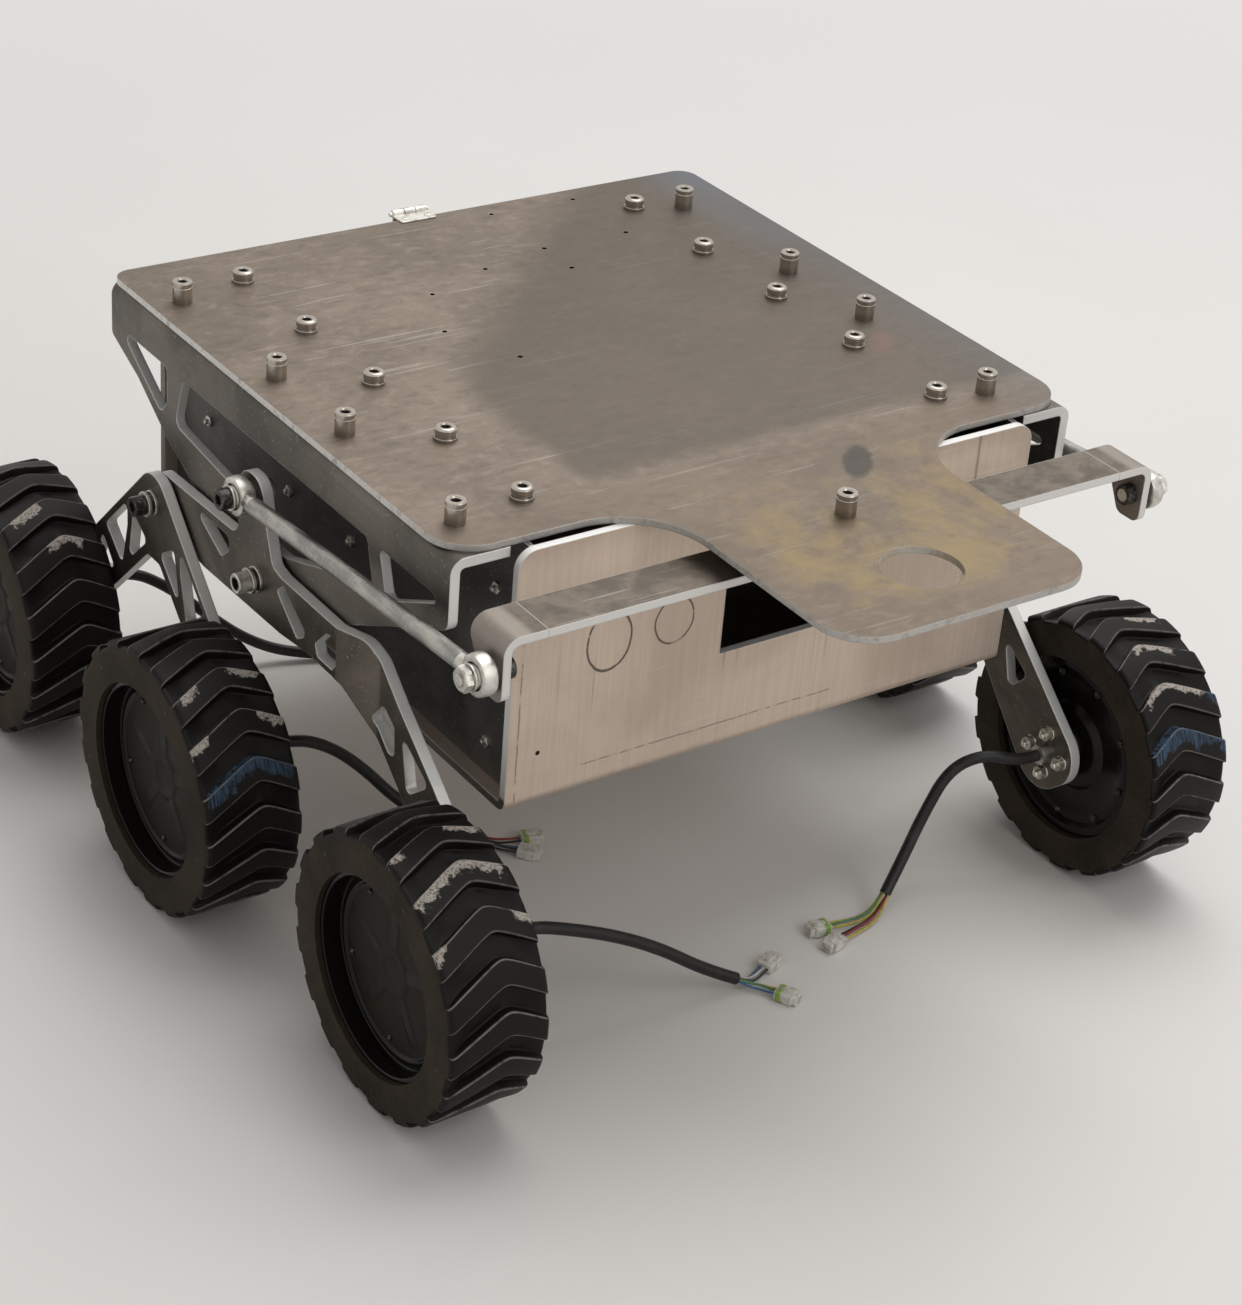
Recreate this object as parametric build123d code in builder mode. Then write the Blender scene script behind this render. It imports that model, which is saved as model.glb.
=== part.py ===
"""Six-wheeled rover chassis on a rocker and bogie suspension.

A bent sheet tub hangs under a flat deck with a tongue at the front.  A plate
rocker pivots on each side frame and carries a bogie behind it.  A bar under
the tongue and two tie rods let the rockers turn against each other.  Every
wheel has a hub motor on a short axle that is bolted to the end of its arm.
Millimetres, -Y forward, +Z up with the floor at zero, +X to the right as a
viewer in front sees it.
"""
from build123d import *
from math import acos, asin, cos, pi, sin, sqrt, tan
import os

# Wheels
tyre_radius = 85.0
tyre_width = 62.0
rim_radius = 60.0
lug_count = 18
lug_length = 14.8
lug_depth = 8.0
lug_apex_in = 25.0
lug_sweep_out = 19.3
lug_sweep_in = 14.8
tread_floor = 79.0
axle_pitch = 232.5
mid_axle_y = 25.0
hub_recess = 15.0
hub_cover_radius = 54.0
hub_boss_radius = 30.0
hub_wall = 4.0
rim_lip = 3.0
rim_ridge = 1.5
hub_rib_width = 9.0
hub_rib_height = 1.0
hub_rib_count = 5
hub_inner_step = 4.0
front_tyre_gap = 5.0
bogie_tyre_gap = 5.0

# Deck plate with its tongue
deck_width = 435.0
deck_length = 400.0
deck_thickness = 4.0
deck_top = 312.0
deck_front = -167.5
deck_front_corner = 27.0
deck_back_corner = 12.0
tongue_width = 174.0
tongue_length = 175.0
tongue_corner = 30.0
tongue_root_radius = 50.0
mast_hole_radius = 23.0
mast_hole_inset = 50.0

# Tub and its side panels
tub_sheet = 5.0
tub_bend = 7.0
tub_floor = 143.0
tub_front_gap = 5.0
tub_back_gap = 0.5
tub_back_drop = 2.0
tub_corner = 12.0
window_half_width = 39.0
window_low = 208.0
window_high = 288.0
panel_sheet = 3.0
panel_inset = 9.0

# Side frames
frame_proud = 0.5
frame_sheet = 6.0
frame_flange = 37.0
frame_bend = 9.0

# Plates of the suspension
plate = 7.0
washer = 1.5
arm_joggle = 11.5
joggle_bend = 8.0
joggle_start = -67.0
joggle_run = 30.0
rocker_pivot_z = 203.0
bogie_pivot_z = 200.0
pivot_pin_radius = 4.0
pivot_washer_radius = 9.0
pivot_head_radius = 6.5
pivot_stack = 14.5
pivot_head_height = 8.0
pin_clearance = 0.1
nut_height = 6.5

# Bar under the tongue
bar_gap = 11.0
bar_sheet = 5.0
bar_depth = 32.0
bar_front = -235.5
bar_bend = 10.0
bar_drop = 39.0
bar_pivot_y = -225.5
bar_spacer_radius = 9.0

# Tie rods
rod_radius = 5.25
eye_radius = 12.0
eye_width = 9.0
eye_bore = 8.0
rod_seat = 10.0
ball_width = 12.0
ball_clearance = 0.1
horn_y = 9.3
horn_z = 52.1
rod_bar_drop = 23.0
rod_washer = 1.3
rod_washer_radius = 8.0

# Axles
axle_neck_radius = 12.0
axle_neck_length = 26.0
axle_flange_radius = 18.0
axle_flange = 3.0
axle_running_gap = 0.05
axle_end_gap = 1.0
clamp_bolt_spacing = 20.0
clamp_bolt_radius = 2.5
clamp_head_radius = 4.2
clamp_head_height = 5.0
cable_sleeve_radius = 6.0
cable_sleeve_length = 8.0
cable_radius = 3.75

# Standoffs
tall_radius = 6.0
tall_height = 14.0
short_radius = 5.0
short_height = 8.0
short_flange_radius = 7.0
short_flange_height = 2.5
standoff_bore = 2.5
tall_inset_left = 20.0
tall_inset_right = 42.5
tall_inset_back = 57.0
tall_inset_front = 29.0
tall_pitch = 117.5
short_inset_left = 67.5
short_inset_right = 74.5
short_inset_back = 45.0
short_pitch = 79.5
spare_hole_radius = 1.75

# Sizes that follow from those above
axle_z = tyre_radius
front_axle_y = mid_axle_y - axle_pitch
rear_axle_y = mid_axle_y + axle_pitch
rocker_pivot_y = mid_axle_y
bogie_pivot_y = mid_axle_y + axle_pitch / 2
deck_under = deck_top - deck_thickness
frame_face = deck_width / 2 + frame_proud
tub_half_width = frame_face - frame_flange
deck_back = deck_front + deck_length
tongue_front = deck_front - tongue_length
rocker_in = frame_face + washer
rocker_out = rocker_in + plate
arm_in = rocker_in - arm_joggle
arm_out = rocker_out - arm_joggle
bogie_in = rocker_out + washer
bogie_out = bogie_in + plate
front_tyre_in = arm_out + front_tyre_gap
bogie_tyre_in = bogie_out + bogie_tyre_gap
bar_top = deck_under - bar_gap
bar_face = rocker_out
rod_front = (bar_face + rod_washer + ball_width / 2, bar_pivot_y, bar_top - rod_bar_drop)
rod_horn_x = rocker_out + rod_washer + ball_width / 2
rod_back = (rod_horn_x, rocker_pivot_y + horn_y, rocker_pivot_z + horn_z)
panel_face = tub_half_width - panel_inset
tub_front_top = deck_under
tub_back_top = deck_under - tub_back_drop


def trace(rows):
    """Closed loop of straight runs and tangent arcs through (across, up, corner radius) rows."""
    count = len(rows)
    starts = []
    ends = []
    for index, (across, up, radius) in enumerate(rows):
        corner = Vector(across, up)
        before = rows[index - 1]
        after = rows[(index + 1) % count]
        back = (Vector(before[0], before[1]) - corner).normalized()
        ahead = (Vector(after[0], after[1]) - corner).normalized()
        half = acos(max(-1.0, min(1.0, back.dot(ahead)))) / 2
        reach = radius / tan(half)
        enter = corner + back * reach
        leave = corner + ahead * reach
        if radius > 0:
            inward = (back + ahead).normalized()
            middle = corner + inward * (radius / sin(half) - radius)
            ThreePointArc(enter, middle, leave)
        starts.append(enter)
        ends.append(leave)
    for index in range(count):
        if (starts[index] - ends[index - 1]).length > 1e-4:
            Line(ends[index - 1], starts[index])


def shifted(rows, across, up, flip=1):
    """The same rows moved by a pivot's place, mirrored across it with flip = -1."""
    moved = [(across + flip * a, up + b, radius) for a, b, radius in rows]
    return moved if flip > 0 else moved[::-1]


def side_plane(x):
    """Plane at one X, drawn as (Y across, Z up)."""
    return Plane(origin=(x, 0, 0), x_dir=(0, 1, 0), z_dir=(1, 0, 0))


def turning_plane(y, z):
    """Plane through an axle parallel to X, drawn as (X across, radius up)."""
    return Plane(origin=(0, y, z), x_dir=(1, 0, 0), z_dir=(0, -1, 0))


def axle_line(y, z):
    """Axis parallel to X through one (Y, Z) point."""
    return Axis((0, y, z), (1, 0, 0))


def finish(build, name, tint):
    """Label a piece, colour it and write it to its own file."""
    build.part.label = name
    build.part.color = Color(*tint)
    export_step(build.part, f"parts/{name}.step")


def both_sides(build, name, tint):
    """Write the piece of the +X side and its mirror image of the -X side."""
    finish(build, f"{name}_right", tint)
    with BuildPart() as twin:
        mirror(build.part, about=Plane.YZ)
    finish(twin, f"{name}_left", tint)


os.makedirs("parts", exist_ok=True)
aluminium = (0.62, 0.60, 0.56)
black = (0.04, 0.04, 0.045)
zinc = (0.72, 0.73, 0.72)
white = (0.85, 0.85, 0.8)

# The deck is one flat sheet.  Its front edge flows into a tongue with a round
# hole for a mast, and the tongue's root is widened by two large fillets.
deck_rows = [
    (-deck_width / 2, deck_back, deck_back_corner),
    (-deck_width / 2, deck_front, deck_front_corner),
    (-tongue_width / 2, deck_front, tongue_root_radius),
    (-tongue_width / 2, tongue_front, tongue_corner),
    (tongue_width / 2, tongue_front, tongue_corner),
    (tongue_width / 2, deck_front, tongue_root_radius),
    (deck_width / 2, deck_front, deck_front_corner),
    (deck_width / 2, deck_back, deck_back_corner),
]
tall_columns = (tall_inset_left - deck_width / 2, deck_width / 2 - tall_inset_right)
tall_back = deck_back - tall_inset_back
tall_front = deck_front + tall_inset_front
tall_rows_y = (tall_back, tall_back - tall_pitch, tall_front + tall_pitch, tall_front)
short_columns = (short_inset_left - deck_width / 2, deck_width / 2 - short_inset_right)
short_rows_y = [deck_back - short_inset_back - row * short_pitch for row in range(5)]
spare_holes = [
    (-53.6, 122.5),
    (-75.3, 72.2),
    (-53.0, 22.6),
    (-2.6, 142.2),
    (50.2, 154.8),
    (49.3, 121.4),
    (49.1, 217.1),
    (114.4, 155.4),
    (113.6, 217.4),
]
tall_places = [(x, y) for x in tall_columns for y in tall_rows_y]
short_places = [(x, y) for x in short_columns for y in short_rows_y]
with BuildPart() as deck_plate:
    with BuildSketch(Plane.XY.offset(deck_under)):
        with BuildLine():
            trace(deck_rows)
        make_face()
        with Locations((0, tongue_front + mast_hole_inset)):
            Circle(mast_hole_radius, mode=Mode.SUBTRACT)
        with Locations(*spare_holes):
            Circle(spare_hole_radius, mode=Mode.SUBTRACT)
        with Locations((0, bar_pivot_y)):
            Circle(pivot_pin_radius + pin_clearance, mode=Mode.SUBTRACT)
    extrude(amount=deck_thickness)
finish(deck_plate, "deck_plate", aluminium)

# Threaded spacers stand on the deck in rows: tall plain ones near the edges
# and short ones with a flange further in.
with BuildPart() as standoffs_tall:
    with BuildSketch(Plane.XY.offset(deck_top)):
        with Locations(*tall_places):
            Circle(tall_radius)
            Circle(standoff_bore, mode=Mode.SUBTRACT)
    extrude(amount=tall_height)
finish(standoffs_tall, "standoffs_tall", zinc)

with BuildPart() as standoffs_short:
    with BuildSketch(Plane.XY.offset(deck_top)):
        with Locations(*short_places):
            Circle(short_flange_radius)
            Circle(standoff_bore, mode=Mode.SUBTRACT)
    extrude(amount=short_flange_height)
    with BuildSketch(Plane.XY.offset(deck_top + short_flange_height)):
        with Locations(*short_places):
            RegularPolygon(short_radius, 6)
            Circle(standoff_bore, mode=Mode.SUBTRACT)
    extrude(amount=short_height - short_flange_height)
finish(standoffs_short, "standoffs_short", zinc)

# The tub is one sheet bent into a U: front panel, floor and back panel.
tub_front_in = deck_front - tub_front_gap
tub_front_out = tub_front_in - tub_sheet
tub_back_in = deck_back + tub_back_gap
tub_back_out = tub_back_in + tub_sheet
tub_rows = [
    (tub_front_out, tub_front_top, 0),
    (tub_front_out, tub_floor, tub_bend),
    (tub_back_out, tub_floor, tub_bend),
    (tub_back_out, tub_back_top, 0),
    (tub_back_in, tub_back_top, 0),
    (tub_back_in, tub_floor + tub_sheet, tub_bend - tub_sheet),
    (tub_front_in, tub_floor + tub_sheet, tub_bend - tub_sheet),
    (tub_front_in, tub_front_top, 0),
]
with BuildPart() as tub_sheet_part:
    with BuildSketch(side_plane(-tub_half_width)):
        with BuildLine():
            trace(tub_rows)
        make_face()
    extrude(amount=2 * tub_half_width)
    front_edges = tub_sheet_part.edges().filter_by(Axis.Y).group_by(Axis.Z)[-1]
    fillet(front_edges, tub_corner)
    back_edges = tub_sheet_part.edges().filter_by(Axis.Y).group_by(Axis.Y)[-1].group_by(Axis.Z)[-1]
    fillet(back_edges, tub_corner)
    with BuildSketch(Plane(origin=(0, tub_front_in, 0), x_dir=(1, 0, 0), z_dir=(0, -1, 0))):
        with Locations((0, (window_low + window_high) / 2)):
            Rectangle(2 * window_half_width, window_high - window_low)
    extrude(amount=tub_sheet, mode=Mode.SUBTRACT)
finish(tub_sheet_part, "tub_sheet", aluminium)

# A thin side panel closes the tub on each side, set in from the sheet's edge.
with BuildPart() as side_panel:
    with BuildSketch(side_plane(panel_face - panel_sheet)):
        with BuildLine():
            trace([
                (tub_front_in, tub_floor + tub_sheet, tub_bend - tub_sheet),
                (tub_back_in, tub_floor + tub_sheet, tub_bend - tub_sheet),
                (tub_back_in, tub_back_top, 0),
                (deck_back - deck_back_corner, deck_under, 0),
                (tub_front_in, deck_under, 0),
            ])
        make_face()
    extrude(amount=panel_sheet)
both_sides(side_panel, "side_panel", aluminium)

# Each side frame is a sheet bent into an L.  Its flange lies under the deck
# and its web is cut to a V whose point carries the rocker's pivot.
web_front = deck_front - 1.0
web_back = deck_back - 2.5
web_low = rocker_pivot_z - 21.0
web_rows = [
    (web_front, deck_under, 0),
    (web_front, deck_under - 42.0, 8),
    (rocker_pivot_y - 135.0, rocker_pivot_z + 35.5, 20),
    (rocker_pivot_y - 21.0, web_low, 20),
    (rocker_pivot_y + 21.0, web_low, 20),
    (rocker_pivot_y + 134.0, rocker_pivot_z + 32.0, 30),
    (rocker_pivot_y + 170.0, rocker_pivot_z + 55.0, 20),
    (web_back, rocker_pivot_z + 70.0, 4),
    (web_back, deck_under, 0),
]
window_top = deck_under - 27.0
web_windows = [
    [
        (web_back - 11.0, window_top, 4),
        (rocker_pivot_y + 131.0, window_top, 4),
        (rocker_pivot_y + 131.0, rocker_pivot_z + 54.0, 4),
        (rocker_pivot_y + 139.0, rocker_pivot_z + 44.0, 6),
    ],
    [
        (rocker_pivot_y + 110.0, window_top, 4),
        (rocker_pivot_y + 121.0, rocker_pivot_z + 44.5, 6),
        (rocker_pivot_y + 48.0, rocker_pivot_z + 37.0, 20),
        (rocker_pivot_y + 17.0, rocker_pivot_z + 20.0, 12),
        (rocker_pivot_y - 17.0, rocker_pivot_z + 20.0, 12),
        (rocker_pivot_y - 65.0, rocker_pivot_z + 36.0, 20),
        (rocker_pivot_y - 117.0, rocker_pivot_z + 45.0, 5),
        (rocker_pivot_y - 108.0, window_top, 5),
    ],
    [
        (rocker_pivot_y - 121.0, window_top, 4),
        (rocker_pivot_y - 130.0, rocker_pivot_z + 49.0, 5),
        (rocker_pivot_y - 181.0, rocker_pivot_z + 73.5, 3),
        (rocker_pivot_y - 179.0, window_top, 3),
    ],
]
flange_in = frame_face - frame_flange
inner_bend = frame_bend - frame_sheet
with BuildPart() as side_frame:
    with BuildSketch(Plane(origin=(0, web_front, 0), x_dir=(1, 0, 0), z_dir=(0, -1, 0))):
        with BuildLine():
            trace([
                (flange_in, deck_under, 0),
                (frame_face, deck_under, frame_bend),
                (frame_face, web_low, 0),
                (frame_face - frame_sheet, web_low, 0),
                (frame_face - frame_sheet, deck_under - frame_sheet, inner_bend),
                (flange_in, deck_under - frame_sheet, 0),
            ])
        make_face()
    extrude(amount=web_front - web_back)
    with BuildSketch(side_plane(0)):
        with BuildLine():
            trace(web_rows)
        make_face()
        for window in web_windows:
            with BuildLine():
                trace(window)
            make_face(mode=Mode.SUBTRACT)
        with Locations((rocker_pivot_y, rocker_pivot_z)):
            Circle(pivot_pin_radius + pin_clearance, mode=Mode.SUBTRACT)
    extrude(amount=frame_face + plate, mode=Mode.INTERSECT)
both_sides(side_frame, "side_frame", aluminium)

# The rocker is one thick plate cut to a bent arm with truss openings.  Its
# front arm is joggled towards the tub, and a horn stands above the pivot.
reach_y = front_axle_y - rocker_pivot_y
reach_z = axle_z - rocker_pivot_z
hinge_y = bogie_pivot_y - rocker_pivot_y
hinge_z = bogie_pivot_z - rocker_pivot_z
rocker_rows = [
    (horn_y - 13.0, horn_z + 13.0, 12.9),
    (horn_y + 13.0, horn_z + 13.0, 12.9),
    (23.5, 17.5, 10),
    (hinge_y + 16.2, hinge_z + 16.2, 15.5),
    (hinge_y + 16.2, hinge_z - 16.2, 15.5),
    (66.0, -25.0, 12),
    (-27.8, -22.5, 30),
    (-60.5, -18.7, 30),
    (-94.1, -19.1, 14),
    (-121.5, -45.5, 20),
    (reach_y + 85.9, reach_z + 51.5, 30),
    (reach_y + 7.5, reach_z - 36.5, 22),
    (reach_y - 34.4, reach_z - 0.3, 22),
    (-182.0, -44.0, 25),
    (-143.0, -13.3, 20),
    (-112.0, 14.3, 14),
    (-28.6, 14.5, 6),
    (-17.9, 16.7, 6),
    (-9.6, 38.8, 20),
]
rocker_windows = [
    [(-31.0, 11.0, 2), (-23.0, 4.0, 3), (-48.0, -15.7, 3), (-60.0, -7.8, 4)],
    [
        (-69.0, -7.6, 2),
        (-81.0, 5.0, 3),
        (-92.0, 8.0, 3),
        (-92.5, -10.0, 2),
        (-88.8, -15.0, 2),
        (-71.5, -15.0, 3),
    ],
    [(-127.0, -20.5, 4), (-116.5, -33.3, 4), (-133.6, -48.5, 4), (-140.5, -47.6, 3), (-139.5, -28.8, 4)],
    [(-147.5, -29.0, 3), (-155.0, -65.0, 4), (-178.0, -46.5, 4)],
    [(-180.5, -61.0, 3), (-190.0, -93.5, 4), (-205.0, -77.5, 4)],
    [(80.0, 10.5, 3), (34.5, 11.0, 3), (34.5, 1.5, 3), (44.0, -7.0, 4)],
]
joggle_end = joggle_start - joggle_run
with BuildPart() as rocker:
    with BuildSketch(Plane.XY):
        with BuildLine():
            trace([
                (rocker_in, deck_back, 0),
                (rocker_out, deck_back, 0),
                (rocker_out, joggle_start, joggle_bend),
                (arm_out, joggle_end, joggle_bend),
                (arm_out, tongue_front, 0),
                (arm_in, tongue_front, 0),
                (arm_in, joggle_end, joggle_bend),
                (rocker_in, joggle_start, joggle_bend),
            ])
        make_face()
    extrude(amount=deck_top)
    with BuildSketch(side_plane(0)):
        with BuildLine():
            trace(shifted(rocker_rows, rocker_pivot_y, rocker_pivot_z))
        make_face()
        for window in rocker_windows:
            with BuildLine():
                trace(shifted(window, rocker_pivot_y, rocker_pivot_z))
            make_face(mode=Mode.SUBTRACT)
        with Locations(
            (rocker_pivot_y, rocker_pivot_z),
            (bogie_pivot_y, bogie_pivot_z),
            (rod_back[1], rod_back[2]),
        ):
            Circle(pivot_pin_radius + pin_clearance, mode=Mode.SUBTRACT)
        with Locations((front_axle_y, axle_z)):
            Circle(cable_sleeve_radius + pin_clearance, mode=Mode.SUBTRACT)
            with Locations(Rotation(0, 0, 45)):
                with GridLocations(clamp_bolt_spacing, clamp_bolt_spacing, 2, 2):
                    Circle(clamp_bolt_radius + pin_clearance, mode=Mode.SUBTRACT)
    extrude(amount=frame_face + 3 * plate, mode=Mode.INTERSECT)
both_sides(rocker, "rocker", aluminium)

# The bogie is an upside down V of the same plate, with a wheel on each leg.
leg_y = axle_pitch / 2
leg_z = axle_z - bogie_pivot_z
leg_long = sqrt(leg_y ** 2 + leg_z ** 2)
along = (leg_y / leg_long, leg_z / leg_long)
outward = (-along[1], along[0])
leg_outer = 18.5
leg_inner = 21.0
leg_end = 22.0
foot_outer = (
    leg_y + outward[0] * leg_outer + along[0] * leg_end,
    leg_z + outward[1] * leg_outer + along[1] * leg_end,
)
foot_inner = (
    leg_y - outward[0] * leg_inner + along[0] * leg_end,
    leg_z - outward[1] * leg_inner + along[1] * leg_end,
)
apex = leg_outer / outward[1]
crotch = -39.5
crotch_half = 8.0
bogie_rows = [
    (0.0, apex, leg_outer),
    (foot_outer[0], foot_outer[1], 19),
    (foot_inner[0], foot_inner[1], 19),
    (crotch_half, crotch, 6),
    (-crotch_half, crotch, 6),
    (-foot_inner[0], foot_inner[1], 19),
    (-foot_outer[0], foot_outer[1], 19),
]
leg_windows = [
    [(66.0, -45.3, 3), (35.5, -15.5, 3), (35.5, -32.3, 8), (43.5, -64.0, 3)],
    [(27.5, -19.5, 3), (11.2, -29.7, 3), (11.3, -34.0, 3), (34.5, -56.0, 3)],
    [(71.0, -54.5, 3), (54.5, -72.5, 3), (84.5, -84.5, 4)],
]
with BuildPart() as bogie:
    with BuildSketch(side_plane(bogie_in)):
        with BuildLine():
            trace(shifted(bogie_rows, bogie_pivot_y, bogie_pivot_z))
        make_face()
        for window in leg_windows:
            for flip in (1, -1):
                with BuildLine():
                    trace(shifted(window, bogie_pivot_y, bogie_pivot_z, flip))
                make_face(mode=Mode.SUBTRACT)
        with Locations((bogie_pivot_y, bogie_pivot_z)):
            Circle(pivot_pin_radius + pin_clearance, mode=Mode.SUBTRACT)
        with Locations((mid_axle_y, axle_z), (rear_axle_y, axle_z)):
            Circle(cable_sleeve_radius + pin_clearance, mode=Mode.SUBTRACT)
            with Locations(Rotation(0, 0, 45)):
                with GridLocations(clamp_bolt_spacing, clamp_bolt_spacing, 2, 2):
                    Circle(clamp_bolt_radius + pin_clearance, mode=Mode.SUBTRACT)
    extrude(amount=plate)
both_sides(bogie, "bogie", aluminium)

# Shoulder bolts carry the rocker on the frame and the bogie on the rocker,
# each with washers, a black socket head outside and a nut inside.
pin_table = [
    (rocker_pivot_y, rocker_pivot_z, frame_face - frame_sheet, frame_face, rocker_in, rocker_out),
    (bogie_pivot_y, bogie_pivot_z, rocker_in, rocker_out, bogie_in, bogie_out),
]
socket_radius = 3.2
socket_depth = 5.0
with BuildPart() as pivot_bolts:
    for y, z, near, gap_start, gap_end, far in pin_table:
        head_start = far + pivot_stack - pivot_head_height
        with BuildSketch(turning_plane(y, z)):
            with BuildLine():
                Polyline(
                    (near - nut_height, 0),
                    (near - nut_height, pivot_head_radius),
                    (near, pivot_head_radius),
                    (near, pivot_pin_radius),
                    (gap_start, pivot_pin_radius),
                    (gap_start, pivot_washer_radius),
                    (gap_end, pivot_washer_radius),
                    (gap_end, pivot_pin_radius),
                    (far, pivot_pin_radius),
                    (far, pivot_washer_radius),
                    (head_start, pivot_washer_radius),
                    (head_start, pivot_head_radius),
                    (far + pivot_stack, pivot_head_radius),
                    (far + pivot_stack, 0),
                    close=True,
                )
            make_face()
        revolve(axis=axle_line(y, z))
        with BuildSketch(Plane(origin=(far + pivot_stack, y, z), x_dir=(0, 1, 0), z_dir=(1, 0, 0))):
            RegularPolygon(socket_radius, 6)
        extrude(amount=-socket_depth, mode=Mode.SUBTRACT)
both_sides(pivot_bolts, "pivot_bolts", black)

# The bar is a strip with both ends bent down.  It turns on a bolt through the
# tongue, on a spacer, and its ends carry the tie rods.
bar_back = bar_front + bar_depth
bar_low = bar_top - bar_drop
with BuildPart() as differential_bar:
    with BuildSketch(Plane(origin=(0, bar_front, 0), x_dir=(1, 0, 0), z_dir=(0, -1, 0))):
        with BuildLine():
            trace([
                (-bar_face, bar_low, 0),
                (-bar_face, bar_top, bar_bend),
                (bar_face, bar_top, bar_bend),
                (bar_face, bar_low, 0),
                (bar_face - bar_sheet, bar_low, 0),
                (bar_face - bar_sheet, bar_top - bar_sheet, bar_bend - bar_sheet),
                (bar_sheet - bar_face, bar_top - bar_sheet, bar_bend - bar_sheet),
                (bar_sheet - bar_face, bar_low, 0),
            ])
        make_face()
    extrude(amount=-bar_depth)
    with BuildSketch(side_plane(-bar_face)):
        with BuildLine():
            trace([
                (bar_front, bar_top, 0),
                (bar_back, bar_top, 0),
                (bar_back, bar_top - 12.0, 10),
                (rod_front[1] + 8.0, bar_low, 6),
                (bar_front, bar_low, 6),
            ])
        make_face()
        with Locations((rod_front[1], rod_front[2])):
            Circle(pivot_pin_radius + pin_clearance, mode=Mode.SUBTRACT)
    extrude(amount=2 * bar_face, mode=Mode.INTERSECT)
    with BuildSketch(Plane.XY.offset(bar_top)):
        with Locations((0, bar_pivot_y)):
            Circle(pivot_pin_radius + pin_clearance)
    extrude(amount=-bar_sheet, mode=Mode.SUBTRACT)
finish(differential_bar, "differential_bar", aluminium)

with BuildPart() as bar_pivot:
    with BuildSketch(Plane.XY.offset(bar_top - bar_sheet)):
        with Locations((0, bar_pivot_y)):
            RegularPolygon(pivot_head_radius, 6)
    extrude(amount=-nut_height)
    with BuildSketch(Plane.XY.offset(bar_top - bar_sheet)):
        with Locations((0, bar_pivot_y)):
            Circle(pivot_pin_radius)
    extrude(amount=deck_top + short_flange_height - bar_top + bar_sheet)
    with BuildSketch(Plane.XY.offset(bar_top)):
        with Locations((0, bar_pivot_y)):
            Circle(bar_spacer_radius)
    extrude(amount=bar_gap)
    with BuildSketch(Plane.XY.offset(deck_top)):
        with Locations((0, bar_pivot_y)):
            Circle(tall_radius)
    extrude(amount=tall_height)
finish(bar_pivot, "bar_pivot", zinc)

# A tie rod is a zinc tube with a ball-joint eye at each end.
rod_start = Vector(*rod_front)
rod_stop = Vector(*rod_back)
rod_way = (rod_stop - rod_start).normalized()
with BuildPart() as tie_rod:
    for centre in (rod_start, rod_stop):
        with BuildSketch(side_plane(centre.X - eye_width / 2)):
            with Locations((centre.Y, centre.Z)):
                Circle(eye_radius)
        extrude(amount=eye_width)
    with BuildSketch(Plane(origin=rod_start + rod_way * rod_seat, z_dir=rod_way)):
        Circle(rod_radius)
    extrude(amount=(rod_stop - rod_start).length - 2 * rod_seat)
    for centre in (rod_start, rod_stop):
        with BuildSketch(side_plane(centre.X - eye_width)):
            with Locations((centre.Y, centre.Z)):
                Circle(eye_bore + ball_clearance)
        extrude(amount=2 * eye_width, mode=Mode.SUBTRACT)
both_sides(tie_rod, "tie_rod", zinc)

# Each eye turns on a ball, and a bolt runs through the ball and its plate.
joint_table = [
    (rod_start, bar_face - bar_sheet, bar_face),
    (rod_stop, rocker_in, rocker_out),
]
ball_flat = sqrt(eye_bore ** 2 - (ball_width / 2) ** 2)
with BuildPart() as rod_bolts:
    for centre, near, far in joint_table:
        ball_near = centre.X - ball_width / 2
        ball_far = centre.X + ball_width / 2
        nut_start = ball_far + rod_washer
        with BuildSketch(turning_plane(centre.Y, centre.Z)):
            with BuildLine():
                Polyline(
                    (near - nut_height, 0),
                    (near - nut_height, pivot_head_radius),
                    (near, pivot_head_radius),
                    (near, pivot_pin_radius),
                    (far, pivot_pin_radius),
                    (far, ball_flat),
                    (ball_near, ball_flat),
                )
                ThreePointArc((ball_near, ball_flat), (centre.X, eye_bore), (ball_far, ball_flat))
                Polyline(
                    (ball_far, ball_flat),
                    (ball_far, rod_washer_radius),
                    (nut_start, rod_washer_radius),
                    (nut_start, pivot_head_radius),
                    (nut_start + nut_height, pivot_head_radius),
                    (nut_start + nut_height, 0),
                    (near - nut_height, 0),
                )
            make_face()
        revolve(axis=axle_line(centre.Y, centre.Z))
both_sides(rod_bolts, "rod_bolts", black)

# One axle for each wheel: a flange against the arm, a neck into the hub, four
# clamp bolts around the sleeve that lets the motor's cable out.
wheel_table = [
    ("front", front_axle_y, arm_in, arm_out, front_tyre_in),
    ("middle", mid_axle_y, bogie_in, bogie_out, bogie_tyre_in),
    ("rear", rear_axle_y, bogie_in, bogie_out, bogie_tyre_in),
]
lug_half = (lug_length + lug_sweep_out) / 2
lug_height = sqrt(tyre_radius ** 2 - lug_half ** 2)
lug_turn = asin(lug_half / tyre_radius)
lug_rows = [
    (0, lug_half - lug_sweep_in),
    (lug_apex_in, lug_half),
    (tyre_width, lug_half - lug_sweep_out),
    (tyre_width, -lug_half),
    (lug_apex_in, lug_half - lug_length),
    (0, lug_half - lug_sweep_in - lug_length),
]


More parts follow.
